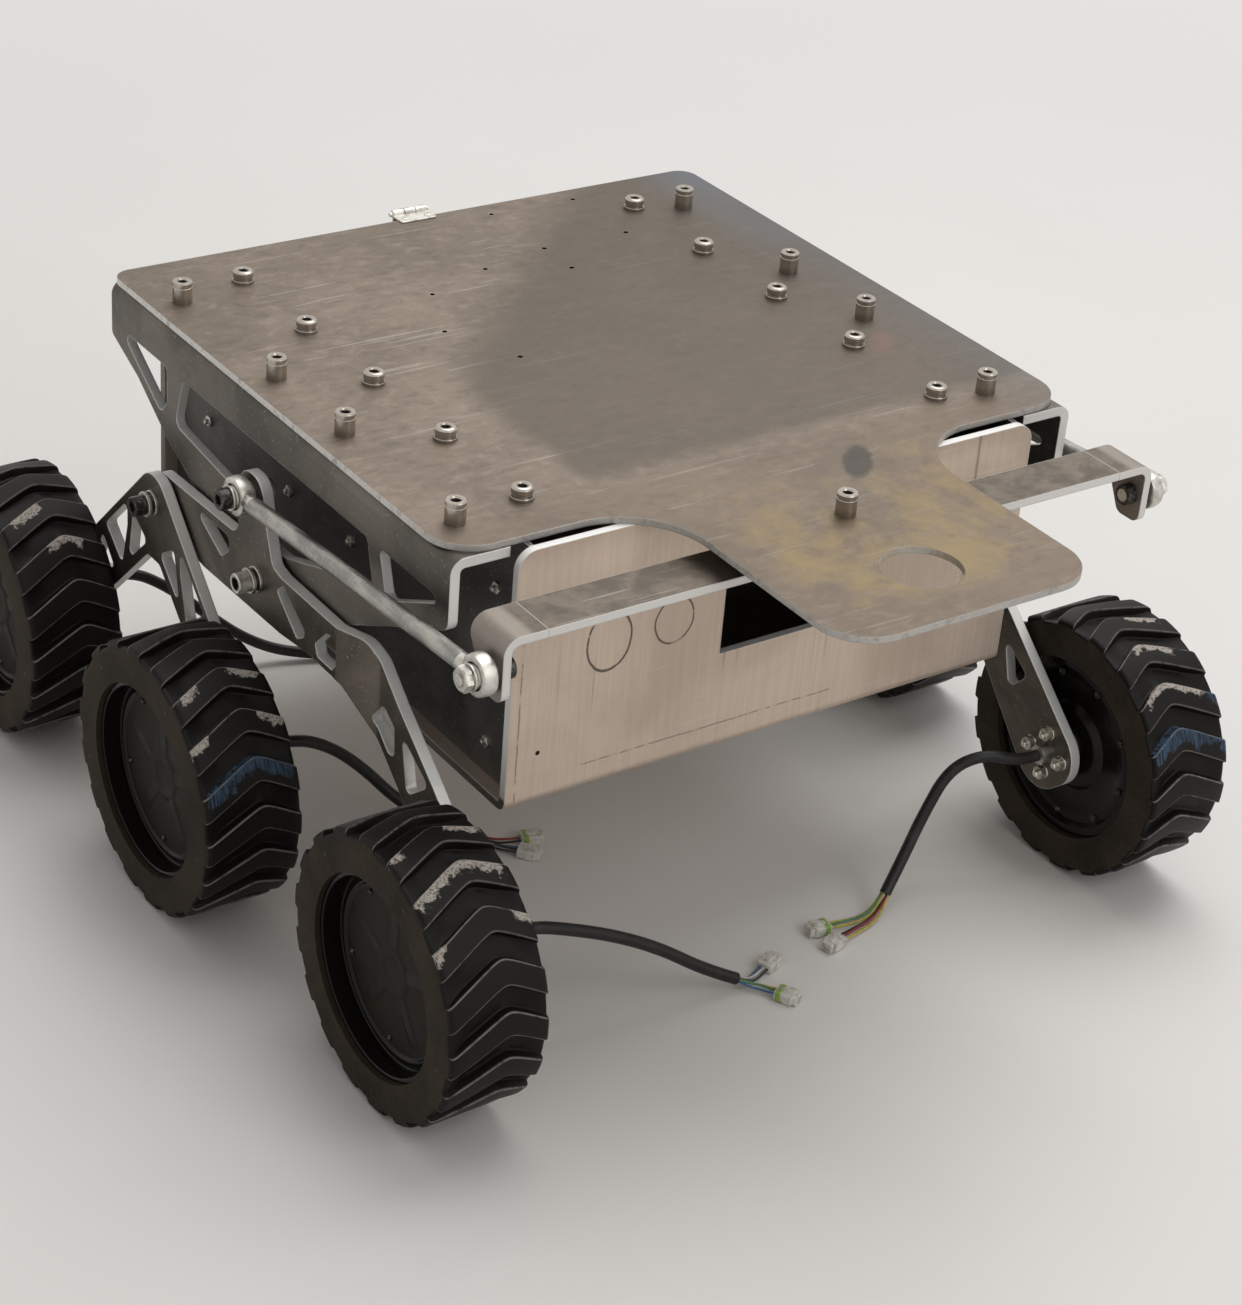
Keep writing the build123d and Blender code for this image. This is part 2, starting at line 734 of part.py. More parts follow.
def lug_planes(x, y):
    """Planes that touch the lugs' tops, one for each lug of the wheel on the axle at Y."""
    planes = []
    for index in range(lug_count):
        angle = pi - lug_turn + 2 * pi * index / lug_count
        outward_y = -sin(angle)
        outward_z = cos(angle)
        place = (x, y + lug_height * outward_y, axle_z + lug_height * outward_z)
        planes.append(Plane(origin=place, x_dir=(1, 0, 0), z_dir=(0, outward_y, outward_z)))
    return planes


for name, y, near, far, tyre_in in wheel_table:
    hub_in = tyre_in + hub_inner_step
    tyre_out = tyre_in + tyre_width
    with BuildPart() as axle:
        with BuildSketch(turning_plane(y, axle_z)):
            with BuildLine():
                Polyline(
                    (near - cable_sleeve_length, 0),
                    (near - cable_sleeve_length, cable_sleeve_radius),
                    (far, cable_sleeve_radius),
                    (far, axle_flange_radius),
                    (far + axle_flange, axle_flange_radius),
                    (far + axle_flange, axle_neck_radius),
                    (hub_in + axle_neck_length, axle_neck_radius),
                    (hub_in + axle_neck_length, 0),
                    close=True,
                )
            make_face()
        revolve(axis=axle_line(y, axle_z))
        with BuildSketch(Plane(origin=(far, y, axle_z), x_dir=(0, 1, 0), z_dir=(-1, 0, 0))):
            with Locations(Rotation(0, 0, 45)):
                with GridLocations(clamp_bolt_spacing, clamp_bolt_spacing, 2, 2):
                    Circle(clamp_bolt_radius)
        extrude(amount=far - near)
        with BuildSketch(Plane(origin=(near, y, axle_z), x_dir=(0, 1, 0), z_dir=(-1, 0, 0))):
            with Locations(Rotation(0, 0, 45)):
                with GridLocations(clamp_bolt_spacing, clamp_bolt_spacing, 2, 2):
                    Circle(clamp_head_radius)
        extrude(amount=clamp_head_height)
    both_sides(axle, f"axle_{name}", zinc)

    cover = tyre_out - hub_recess
    bore_radius = axle_neck_radius + axle_running_gap
    bore_end = hub_in + axle_neck_length + axle_end_gap
    with BuildPart() as hub:
        with BuildSketch(turning_plane(y, axle_z)):
            with BuildLine():
                Polyline(
                    (hub_in, bore_radius),
                    (hub_in, hub_boss_radius - hub_wall),
                    (hub_in + hub_wall, hub_boss_radius),
                    (hub_in + hub_wall, hub_cover_radius - rim_lip),
                    (hub_in, hub_cover_radius),
                    (hub_in, rim_radius),
                    (tyre_out - rim_lip, rim_radius),
                    (tyre_out - rim_lip, rim_radius - rim_lip),
                    (cover, rim_radius - rim_lip),
                    (cover, hub_cover_radius),
                    (cover + rim_ridge, hub_cover_radius - rim_ridge),
                    (cover + rim_ridge, hub_cover_radius - 2 * rim_ridge),
                    (cover, hub_cover_radius - 3 * rim_ridge),
                    (cover, 0),
                    (bore_end, 0),
                    (bore_end, bore_radius),
                    close=True,
                )
            make_face()
        revolve(axis=axle_line(y, axle_z))
        with BuildSketch(side_plane(cover)):
            with Locations((y, axle_z)):
                Circle(hub_boss_radius / 2)
                with PolarLocations(hub_cover_radius / 2, hub_rib_count, start_angle=90):
                    Rectangle(hub_cover_radius / 2, hub_rib_width)
        extrude(amount=hub_rib_height)
    both_sides(hub, f"hub_{name}", black)

    # The tyre's flat floor carries chevron lugs.  The highest corner of one
    # lug is straight under the axle, and the chevrons point up at the front.
    with BuildPart() as tyre:
        with BuildSketch(side_plane(tyre_in)):
            with Locations((y, axle_z)):
                RegularPolygon(tread_floor, lug_count)
                Circle(rim_radius, mode=Mode.SUBTRACT)
        extrude(amount=tyre_width)
        with BuildSketch(*lug_planes(tyre_in, y)):
            with BuildLine():
                Polyline(lug_rows, close=True)
            make_face()
        extrude(amount=-lug_depth)
    both_sides(tyre, f"tyre_{name}", black)

# A small hinge lies over the deck's back edge, with its barrel behind the tub.
hinge_leaf = (34.0, 20.0, 1.5)
hinge_barrel_radius = 3.0
barrel_y = tub_back_out + hinge_barrel_radius
with BuildPart() as deck_hinge:
    with BuildSketch(Plane.XY.offset(deck_top)):
        with Locations((0, barrel_y - hinge_leaf[1] / 2)):
            Rectangle(hinge_leaf[0], hinge_leaf[1])
    extrude(amount=hinge_leaf[2])
    with BuildSketch(side_plane(-hinge_leaf[0] / 2)):
        with Locations((barrel_y, deck_top)):
            Circle(hinge_barrel_radius)
    extrude(amount=hinge_leaf[0])
    with BuildSketch(Plane(origin=(0, tub_back_out, 0), x_dir=(1, 0, 0), z_dir=(0, -1, 0))):
        with Locations((0, deck_top - hinge_leaf[1] / 2)):
            Rectangle(hinge_leaf[0], hinge_leaf[1])
    extrude(amount=-hinge_leaf[2])
finish(deck_hinge, "deck_hinge", zinc)


def cable(points, radius):
    """Tube of straight runs joined by tangent arcs, each as large as its runs allow."""
    places = [Vector(*point) for point in points]
    total = 0.0
    with BuildPart() as tube:
        with BuildLine() as route:
            last = places[0]
            for index in range(1, len(places) - 1):
                corner = places[index]
                back = places[index - 1] - corner
                ahead = places[index + 1] - corner
                reach = 0.45 * min(back.length, ahead.length)
                enter = corner + back.normalized() * reach
                leave = corner + ahead.normalized() * reach
                half = acos(back.normalized().dot(ahead.normalized())) / 2
                bend = reach * tan(half)
                inward = (back.normalized() + ahead.normalized()).normalized()
                middle = corner + inward * (bend / sin(half) - bend)
                Line(last, enter)
                ThreePointArc(enter, middle, leave)
                print("bend", round(bend, 1), "diameters", round(bend / radius / 2, 1))
                last = leave
            Line(last, places[-1])
        total = sum(edge.length for edge in route.edges())
        start = places[1] - places[0]
        with BuildSketch(Plane(origin=places[0], z_dir=start.normalized())):
            Circle(radius)
        sweep(path=route.wires()[0])
    print("tube", round(tube.part.volume / (pi * radius ** 2 * total), 4), "length", round(total, 1))
    return tube


# Motor cables leave the arms at the axles and lie down to the floor, where
# each splits into two bundles of thin wires with a white plug on each.
lead_radius = 1.7
plug_length = 15.0
plug_width = 11.0
plug_height = 7.0
cable_table = [
    (
        "front_right",
        [
            (arm_in - cable_sleeve_length, front_axle_y, axle_z),
            (185.0, front_axle_y, axle_z),
            (163.0, -200.0, 93.0),
            (141.0, -192.0, 84.0),
            (125.0, -191.5, 54.0),
            (108.0, -196.5, 29.0),
            (91.7, -203.0, 12.9),
        ],
        [
            [
                (92.4, -204.8, 12.9),
                (84.2, -208.1, 4.8),
                (73.0, -212.0, 2.6),
                (60.0, -214.5, 3.2),
                (47.0, -217.5, 3.8),
            ],
            [
                (91.0, -201.2, 12.9),
                (82.8, -204.5, 4.8),
                (71.0, -205.5, 2.6),
                (60.5, -205.0, 3.3),
                (48.0, -203.5, 3.8),
            ],
        ],
    ),
    (
        "front_left",
        [
            (cable_sleeve_length - arm_in, front_axle_y, axle_z),
            (-181.0, front_axle_y, axle_z),
            (-153.0, -209.5, 75.0),
            (-120.0, -213.0, 60.5),
            (-89.0, -216.0, 42.0),
            (-61.0, -221.0, 21.0),
            (-39.0, -225.0, 9.0),
        ],
        [
            [(-38.7, -223.1, 9.0), (-30.6, -224.6, 4.3), (-22.0, -222.5, 2.8), (-13.5, -219.0, 3.8)],
            [(-39.3, -226.9, 9.0), (-32.0, -228.4, 5.0), (-25.0, -233.6, 3.3), (-20.8, -241.5, 3.8)],
        ],
    ),
    (
        "middle_left",
        [
            (cable_sleeve_length - bogie_in, mid_axle_y, axle_z),
            (-200.0, mid_axle_y, axle_z),
            (-173.0, 27.0, 70.0),
            (-149.0, 27.0, 47.0),
            (-129.0, 19.0, 22.0),
            (-108.0, 3.0, 6.5),
            (-91.0, -20.0, 4.0),
        ],
        [
            [(-89.4, -18.9, 4.0), (-84.5, -25.5, 3.0), (-77.0, -30.0, 3.2), (-68.0, -33.0, 3.8)],
            [(-92.6, -21.1, 4.0), (-87.7, -28.5, 3.0), (-82.5, -36.5, 3.2), (-76.0, -43.5, 3.8)],
        ],
    ),
    (
        "rear_left",
        [
            (cable_sleeve_length - bogie_in, rear_axle_y, axle_z),
            (-196.0, rear_axle_y, axle_z),
            (-170.0, 253.5, 69.0),
            (-143.0, 247.0, 43.0),
            (-116.0, 240.0, 19.0),
            (-86.0, 230.0, 5.5),
            (-56.0, 217.0, 4.0),
        ],
        [
            [(-55.2, 218.7, 4.0), (-46.5, 215.8, 3.0), (-38.0, 212.0, 3.2), (-29.0, 208.5, 3.8)],
            [(-56.8, 215.3, 4.0), (-48.5, 210.5, 3.0), (-41.5, 204.5, 3.2), (-35.5, 197.0, 3.8)],
        ],
    ),
]
for name, points, ends in cable_table:
    tube = cable(points, cable_radius)
    finish(tube, f"cable_{name}", black)
    with BuildPart() as leads:
        for run in ends:
            strand = cable(run, lead_radius)
            add(strand.part)
    finish(leads, f"leads_{name}", white)
    with BuildPart() as plugs:
        for run in ends:
            tip = Vector(*run[-1])
            way = (tip - Vector(*run[-2])).normalized()
            across = Vector(-way.Y, way.X, 0).normalized()
            with BuildSketch(Plane(origin=tip, x_dir=across, z_dir=way)):
                Rectangle(plug_width, plug_height)
            extrude(amount=plug_length)
    finish(plugs, f"plugs_{name}", white)
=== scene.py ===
"""Six-wheeled rover chassis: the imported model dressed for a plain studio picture."""
from math import cos, pi, radians, sin

import bpy
import numpy as np
from mathutils import Matrix, Vector


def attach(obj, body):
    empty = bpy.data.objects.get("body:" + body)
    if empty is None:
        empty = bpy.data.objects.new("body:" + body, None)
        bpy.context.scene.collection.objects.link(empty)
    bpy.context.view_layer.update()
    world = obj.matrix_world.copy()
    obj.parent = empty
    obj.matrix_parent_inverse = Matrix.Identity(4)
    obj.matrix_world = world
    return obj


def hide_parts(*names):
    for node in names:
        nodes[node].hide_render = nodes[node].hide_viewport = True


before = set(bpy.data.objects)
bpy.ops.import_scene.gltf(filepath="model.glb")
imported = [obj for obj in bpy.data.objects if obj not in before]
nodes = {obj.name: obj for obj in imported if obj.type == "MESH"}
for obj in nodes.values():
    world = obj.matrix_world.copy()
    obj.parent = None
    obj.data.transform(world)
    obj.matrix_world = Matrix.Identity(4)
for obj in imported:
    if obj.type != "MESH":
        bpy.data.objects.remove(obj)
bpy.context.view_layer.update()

# The camera looks down on the deck from beyond the rover's front left wheel,
# from about a metre up and with a long lens, a little tilted as a hand holds it.
turn, dip, roll = 0.6653132, 0.5311198, 0.0970996
focal_pixels, frame_height = 2979.4263, 1305.0
ahead = Vector((sin(turn) * cos(dip), cos(turn) * cos(dip), -sin(dip)))
level = Vector((cos(turn), -sin(turn), 0.0))
rise = level.cross(ahead)
rightward = cos(roll) * level + sin(roll) * rise
upward = cos(roll) * rise - sin(roll) * level
camera = bpy.data.objects.new("camera", bpy.data.cameras.new("camera"))
bpy.context.scene.collection.objects.link(camera)
pose = Matrix((rightward, upward, -ahead)).transposed().to_4x4()
pose.translation = (-0.963020, -1.319236, 1.063102)
camera.matrix_world = pose
camera.data.lens = focal_pixels / frame_height * camera.data.sensor_width
camera.data.shift_x = -58.8792 / frame_height
camera.data.shift_y = 9.0669 / frame_height
camera.data.clip_start, camera.data.clip_end = 0.05, 60.0
bpy.context.scene.camera = camera

# Motor cables: round black rubber cables that leave the arms at the axles and
# lie down to the floor.  Each follows its route on one smooth spline.
cable_diameter = 0.0075


def add_node(kind, values=None, tree=None, **settings):
    """New shader node whose inputs take plain values or are joined to other nodes' outputs, in their tree."""
    values = values or {}
    joins = {key: value for key, value in values.items() if isinstance(value, bpy.types.NodeSocket)}
    tree = tree or next(iter(joins.values())).id_data
    node = tree.nodes.new(kind)
    for key, value in settings.items():
        setattr(node, key, value)
    for key, value in values.items():
        if key in joins:
            tree.links.new(value, node.inputs[key])
        else:
            node.inputs[key].default_value = value
    return node


def between(value, low, high, start=0.0, stop=1.0):
    """Value mapped from low..high to start..stop and held there beyond, in a smooth step."""
    values = {"Value": value, "From Min": low, "From Max": high, "To Min": start, "To Max": stop}
    return add_node("ShaderNodeMapRange", values, interpolation_type="SMOOTHSTEP").outputs["Result"]


def blended(mask, first, second):
    """Colour that goes from the first to the second as the mask goes from 0 to 1."""
    ends = [(*value, 1.0) if isinstance(value, tuple) else value for value in (first, second)]
    return add_node("ShaderNodeMix", {0: mask, 6: ends[0], 7: ends[1]}, data_type="RGBA").outputs[2]


def clouds(place, scale, detail=4.0, roughness=0.55, distortion=0.0):
    """Soft noise of about 0.3 to 0.7 at so many cells a metre."""
    values = {"Vector": place, "Scale": scale, "Detail": detail, "Roughness": roughness,
              "Distortion": distortion}
    return add_node("ShaderNodeTexNoise", values).outputs["Fac"]


def feed(shader, **values):
    """Gives a shader its colour, rough, metal or shine, each a number or another node's output."""
    names = {"colour": "Base Color", "rough": "Roughness", "metal": "Metallic", "shine": "Specular IOR Level"}
    for key, value in values.items():
        socket = shader.inputs[names[key]]
        if isinstance(value, bpy.types.NodeSocket):
            value.id_data.links.new(value, socket)
        else:
            socket.default_value = value


def new_finish(name, metallic, roughness):
    """Material with one Principled shader, and the object's own place to hang patterns on."""
    material = bpy.data.materials.new(name)
    material.use_nodes = True
    shader = material.node_tree.nodes["Principled BSDF"]
    feed(shader, metal=metallic, rough=roughness)
    return material, shader, add_node("ShaderNodeTexCoord", tree=material.node_tree).outputs["Object"]


def relief(shader, height, strength, distance, **normal):
    """Small bumps from a height map, on the shader's normal or on one that is given as Normal."""
    values = {"Height": height, "Strength": strength, "Distance": distance, **normal}
    shader.id_data.links.new(add_node("ShaderNodeBump", values).outputs[0], shader.inputs["Normal"])


cable_rubber, shader, place = new_finish("cable_rubber", 0.0, 0.5)
wear = between(clouds(place, 60.0, 5.0), 0.5, 0.7)
feed(shader, colour=blended(wear, (0.0095, 0.0088, 0.0085), (0.036, 0.032, 0.028)),
     rough=between(wear, 0.0, 1.0, 0.42, 0.68), shine=0.35)
relief(shader, clouds(place, 900.0, 3.0), 0.25, 0.0003)


def route_spline(data, points):
    """Adds an open NURBS spline of order three with the route's points as its control points."""
    spline = data.splines.new("NURBS")
    spline.points.add(len(points) - 1)
    for knot, point in zip(spline.points, points):
        knot.co = (*point, 1.0)
    spline.order_u = 3
    spline.use_endpoint_u = True
    return spline


def round_curve(name, thickness, finish):
    """Curve object with a round section of the given thickness."""
    data = bpy.data.curves.new(name, "CURVE")
    data.dimensions = "3D"
    data.resolution_u = 24
    data.bevel_depth = thickness / 2
    data.bevel_resolution = 6
    data.use_fill_caps = True
    data.materials.append(finish)
    piece = bpy.data.objects.new(name, data)
    bpy.context.scene.collection.objects.link(piece)
    return piece


cable_routes = {
    "front_right": (0.157, [
        (0.200, -0.2075, 0.085), (0.185, -0.2075, 0.085), (0.163, -0.200, 0.093), (0.141, -0.192, 0.084),
        (0.125, -0.1915, 0.054), (0.108, -0.1965, 0.029), (0.0917, -0.203, 0.0129)]),
    "front_left": (0.188, [
        (-0.200, -0.2075, 0.085), (-0.181, -0.2075, 0.085), (-0.153, -0.2095, 0.075),
        (-0.120, -0.213, 0.0605), (-0.089, -0.216, 0.042), (-0.061, -0.221, 0.021), (-0.039, -0.225, 0.009)]),
    "middle_left": (0.175, [
        (-0.220, 0.025, 0.085), (-0.200, 0.025, 0.085), (-0.173, 0.027, 0.070), (-0.149, 0.027, 0.047),
        (-0.129, 0.019, 0.022), (-0.108, 0.003, 0.0065), (-0.091, -0.020, 0.004)]),
    "rear_left": (0.195, [
        (-0.220, 0.2575, 0.085), (-0.196, 0.2575, 0.085), (-0.170, 0.2535, 0.069), (-0.143, 0.247, 0.043),
        (-0.116, 0.240, 0.019), (-0.086, 0.230, 0.0055), (-0.056, 0.217, 0.004)]),
}
for name, (real_length, points) in cable_routes.items():
    cable = round_curve(f"motor_cable_{name}", cable_diameter, cable_rubber)
    route_spline(cable.data, points)
    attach(cable, "chassis")
    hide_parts(f"cable_{name}")

# Tub: one 5 mm aluminium sheet bent to a U, with room for the electronics.  Its
# front still shows the mill's streaks, scribed lines and two circles in pencil.
a_vector, a_number = "NodeSocketVector", "NodeSocketFloat"
edge_width = 0.0012


def maths(operation, first, *others):
    """One arithmetic step on a socket or number, taken again with each of the others."""
    for other in others or (None,):
        values = {0: first} if other is None else {0: first, 1: other}
        first = add_node("ShaderNodeMath", values, operation=operation).outputs[0]
    return first


def times(*values):
    """Product of sockets and numbers."""
    return maths("MULTIPLY", *values)


def plus(*values):
    """Sum of sockets and numbers."""
    return maths("ADD", *values)


def minus(*values):
    """The first socket or number less the others."""
    return maths("SUBTRACT", *values)


def tinted(base, mask, weight, colour):
    """Base colour, drawn towards another colour by a mask and its weight."""
    return blended(times(mask, weight), base, colour)


def stretched(place, scales):
    """Place with each axis multiplied by its own scale, so that a pattern runs along one axis."""
    return add_node("ShaderNodeMapping", {"Vector": place, "Scale": scales}).outputs[0]


def new_group(name, takes, gives):
    """Node group with named sockets, as a dictionary of name and kind for what it takes and one for what it
    gives, together with its inner sockets for both."""
    group = bpy.data.node_groups.new(name, "ShaderNodeTree")
    for way, sockets in (("INPUT", takes), ("OUTPUT", gives)):
        for socket, kind in sockets.items():
            group.interface.new_socket(socket, in_out=way, socket_type=kind)
    return group, group.nodes.new("NodeGroupInput").outputs, group.nodes.new("NodeGroupOutput").inputs


rolled_sheet, taken, given = new_group(
    "rolled_sheet", {"Place": a_vector, "Grain": a_vector, "Stains": a_number},
    {"Grain": a_number, "Stains": a_number, "Scratches": a_number})
drawn = add_node("ShaderNodeVectorMath", {0: taken["Place"], 1: taken["Grain"]}, operation="MULTIPLY")
rolled_sheet.links.new(clouds(drawn.outputs[0], 1.0, 3.0, 0.65), given["Grain"])
rolled_sheet.links.new(clouds(taken["Place"], taken["Stains"], 6.0, 0.62, 0.5), given["Stains"])
lines = []
for tilt, lengthways, seed in ((0.5, 9.0, 0.0), (-0.8, 14.0, 3.7), (1.3, 11.0, 8.1)):
    values = {"Vector": taken["Place"], "Location": (seed, seed, seed), "Rotation": (0.0, 0.3, tilt),
              "Scale": (lengthways, 420.0, 420.0)}
    leaning = add_node("ShaderNodeMapping", values).outputs[0]
    lines.append(between(clouds(leaning, 1.0, 1.0, 0.4), 0.735, 0.76))
rolled_sheet.links.new(maths("MAXIMUM", *lines), given["Scratches"])

# Mask of a sheet's sharp edges, which tints them pale: partly edge wear, partly a painted highlight.
sheet_edge_light_and_wear, taken, given = new_group("sheet_edge_light_and_wear", {"Width": a_number}, {"Mask": a_number, "Normal": a_vector})
rounded = add_node("ShaderNodeBevel", {"Radius": taken["Width"]}, samples=6).outputs[0]
flat = add_node("ShaderNodeNewGeometry", tree=sheet_edge_light_and_wear).outputs["Normal"]
likeness = add_node("ShaderNodeVectorMath", {0: rounded, 1: flat}, operation="DOT_PRODUCT").outputs["Value"]
sheet_edge_light_and_wear.links.new(between(likeness, 0.97, 0.80), given["Mask"])
sheet_edge_light_and_wear.links.new(rounded, given["Normal"])


def split(vector):
    """The x, the y and the z of a vector."""
    return add_node("ShaderNodeSeparateXYZ", {0: vector}).outputs


def facing_of(shader):
    """How far the surface faces along x, y and z, from -1 to 1."""
    return split(add_node("ShaderNodeTexCoord", tree=shader.id_data).outputs["Normal"])


def size_of(value):
    """Value without its sign."""
    return maths("ABSOLUTE", value)


def sheet_metal(name, grain, stains, dull, clean, roughness, metallic=0.85, facing=None, cut_highlight_colour=None,
                roll_start=1.0):
    """Bare sheet: a dull and a clean tone mixed by its stains, streaked by its grain, with scratches
    and rounded edges painted bright: wear and a painted highlight.  With facing, faces square to that axis
    and what is rolled over above roll_start are dull, and cut edges have a bright colour of their own:
    a painted highlight, partly the bare cut metal."""
    material, shader, place = new_finish(name, metallic, 0.45)
    values = {"Place": place, "Grain": grain, "Stains": stains}
    surface = add_node("ShaderNodeGroup", values, node_tree=rolled_sheet).outputs
    edge = add_node("ShaderNodeGroup", {"Width": edge_width}, shader.id_data, node_tree=sheet_edge_light_and_wear).outputs
    tone = between(surface["Stains"], 0.36, 0.66)
    base = blended(tone, dull, clean)
    base = tinted(base, between(surface["Grain"], 0.3, 0.7), 0.16, tuple(0.5 * value for value in dull))
    if facing:
        normal = facing_of(shader)
        rolled = between(split(place)["Z"], roll_start - 0.002, roll_start + 0.002)
        rolled = times(rolled, between(size_of(normal["Y"]), 0.6, 0.3))
        square = maths("MAXIMUM", between(size_of(normal[facing]), 0.45, 0.9), rolled)
        # Cut edges take a bright colour: a painted highlight, partly the bare cut metal.
        cut_highlight = blended(tone, cut_highlight_colour, tuple(0.86 * value for value in cut_highlight_colour))
        base = blended(square, cut_highlight, base)
        feed(shader, metal=between(square, 0.0, 1.0, 0.35, metallic))
    base = tinted(base, surface["Scratches"], 0.20, (0.70, 0.67, 0.63))
    # Sharp edges tinted pale: wear and a painted highlight.
    base = tinted(base, edge["Mask"], 0.8, (0.80, 0.78, 0.75))
    feed(shader, colour=base, rough=blended(surface["Stains"], (roughness[0],) * 3, (roughness[1],) * 3))
    relief(shader, surface["Grain"], 0.05, 0.0003, Normal=edge["Normal"])
    return material, shader, place, base


def cover(node_names, material):
    """Puts a material in every slot of the named CAD nodes."""
    for node_name in node_names:
        for slot in nodes[node_name].material_slots:
            slot.material = material


def in_range(value, low, high, soft):
    """Mask that is 1 from low to high and fades out over a soft border beyond each."""
    return times(between(value, low - soft, low), between(value, high, high + soft, 1.0, 0.0))


tub_metal, shader, place, base = sheet_metal(
    "tub_sheet_metal", grain=(500.0, 60.0, 14.0), stains=9.0, dull=(0.555, 0.452, 0.368),
    clean=(0.69, 0.570, 0.472), roughness=(0.42, 0.60), metallic=0.75)
axes, normal = split(place), facing_of(shader)
front = times(between(normal["Y"], -0.6, -0.9), between(axes["Y"], -0.1765, -0.1770))
grimy = blended(clouds(place, 14.0, 5.0), (0.14, 0.127, 0.108), (0.30, 0.268, 0.226))
base = blended(between(size_of(normal["X"]), 0.4, 0.9), base, grimy)
streaks = clouds(stretched(place, (210.0, 1.0, 5.0)), 1.0, 2.0, 0.4)
regions = between(clouds(stretched(place, (16.0, 1.0, 9.0)), 1.0, 2.0), 0.45, 0.62)
streaks = times(between(streaks, 0.63, 0.72), regions)
wobble = times(minus(clouds(place, 90.0, 2.0), 0.5), 0.0012)
pressed = between(clouds(place, 150.0, 3.0), 0.34, 0.52)
marks = times(streaks, 0.55)
for across, at, along, start, stop, weight in (("Z", 0.1605, "X", -0.130, 0.045, 0.55),
                                               ("X", -0.1745, "Z", 0.150, 0.262, 0.6)):
    line = in_range(plus(axes[across], wobble), at - 0.0003, at + 0.0003, 0.0004)
    line = times(line, in_range(axes[along], start, stop, 0.004), pressed, weight)
    marks = maths("MAXIMUM", marks, line)


def distance_out(first, second, middle, half):
    """Distance from an ellipse's middle, where 1 is its outline, along two ways across it."""
    out = [maths("DIVIDE", minus(way, at), reach) for way, at, reach in zip((first, second), middle, half)]
    return maths("SQRT", plus(*[maths("POWER", value, 2.0) for value in out]))


drawn_circles = [
    # x and z of the middle, half width and half height
    ((-0.1176, 0.2378), (0.0148, 0.0190)),
    ((-0.0737, 0.2395), (0.0132, 0.0148)),
]
for middle, half in drawn_circles:
    out = plus(distance_out(axes["X"], axes["Z"], middle, half), times(wobble, 60.0))
    ring = times(in_range(out, 0.965, 1.025, 0.03), between(pressed, 0.0, 0.5, 0.45, 0.95))
    marks = maths("MAXIMUM", marks, ring)
# The front sheet's top cut edge is painted pale: a painted highlight.
cut_highlight = times(in_range(axes["Y"], -0.1774, -0.1726, 0.0002), between(size_of(normal["Y"]), 0.6, 0.3),
            between(axes["Z"], 0.150, 0.153))
base = blended(cut_highlight, base, (0.80, 0.785, 0.76))
# A small hole in the front, painted as a near-black dot: painted shade.
hole_shade = distance_out(axes["X"], axes["Z"], (-0.1607, 0.1772), (0.0015, 0.0015))
hole_shade = between(hole_shade, 13 / 15, 17 / 15, 1.0, 0.0)
base = tinted(base, marks, front, (0.13, 0.105, 0.085))
base = tinted(base, hole_shade, front, (0.012, 0.011, 0.010))
feed(shader, colour=base, metal=between(cut_highlight, 0.0, 1.0, 0.75, 0.3))
cover(["tub_sheet"], tub_metal)

# Side panels: thinner grey sheets that close the tub's long sides, each held
# by small studs whose ends and nuts show on the outside.
panel_metal = sheet_metal(
    "side_panel_metal", grain=(60.0, 40.0, 700.0), stains=11.0, dull=(0.066, 0.065, 0.061),
    clean=(0.138, 0.132, 0.121), roughness=(0.40, 0.56), metallic=0.6)[0]
cover(["side_panel_left", "side_panel_right"], panel_metal)


def lattice(points, closed_around=False, closed_across=False, flipped=False):
    """Faces of a grid of points: each joins a point to the next along both of the grid's ways."""
    rows, columns = points.shape[:2]
    index = np.arange(rows * columns).reshape(rows, columns)
    if closed_around:
        index = np.vstack([index, index[:1]])
    if closed_across:
        index = np.hstack([index, index[:, :1]])
    quads = np.stack([index[:-1, :-1], index[1:, :-1], index[1:, 1:], index[:-1, 1:]], -1).reshape(-1, 4)
    return quads[:, ::-1] if flipped else quads


def surface_piece(name, parts, finishes, sharp=35.0, layers=()):
    """Mesh object from parts of points, faces and one finish number or one for each face.  It is smooth
    apart from edges over an angle.  Points that lie on each other become one, so that poles and seams close,
    and a face with two of them becomes a triangle.  A layer is a name, the values of the first part's
    points, and the value of all the others."""
    points = np.vstack([part_points.reshape(-1, 3) for part_points, part_faces, number in parts])
    starts = np.cumsum([0] + [part_points.size // 3 for part_points, part_faces, number in parts])
    quads = np.vstack([part_faces + start for (part_points, part_faces, number), start in zip(parts, starts)])
    numbers = np.concatenate([np.full(len(part_faces), number) for part_points, part_faces, number in parts])
    kept, index = np.unique(np.round(points, 7), axis=0, return_index=True, return_inverse=True)[1:]
    quads = index.reshape(-1)[quads]
    meets = quads == np.roll(quads, -1, axis=1)
    whole, folded = ~meets.any(1), meets.sum(1) == 1
    faces = quads[whole].tolist() + quads[folded][~meets[folded]].reshape(-1, 3).tolist()
    numbers = np.concatenate([numbers[whole], numbers[folded]]).astype(np.int32)
    mesh = bpy.data.meshes.new(name)
    mesh.from_pydata(points[kept].tolist(), [], faces)
    for finish in finishes:
        mesh.materials.append(finish)
    mesh.polygons.foreach_set("material_index", numbers)
    mesh.polygons.foreach_set("use_smooth", np.ones(len(faces), dtype=bool))
    for key, values, elsewhere in layers:
        every = np.full(len(points), elsewhere, dtype=np.float32)
        every[:values.size] = values.ravel()
        mesh.attributes.new(key, "FLOAT", "POINT").data.foreach_set("value", every[kept])
    mesh.update()
    mesh.set_sharp_from_angle(angle=radians(sharp))
    piece = bpy.data.objects.new(name, mesh)
    bpy.context.scene.collection.objects.link(piece)
    return piece


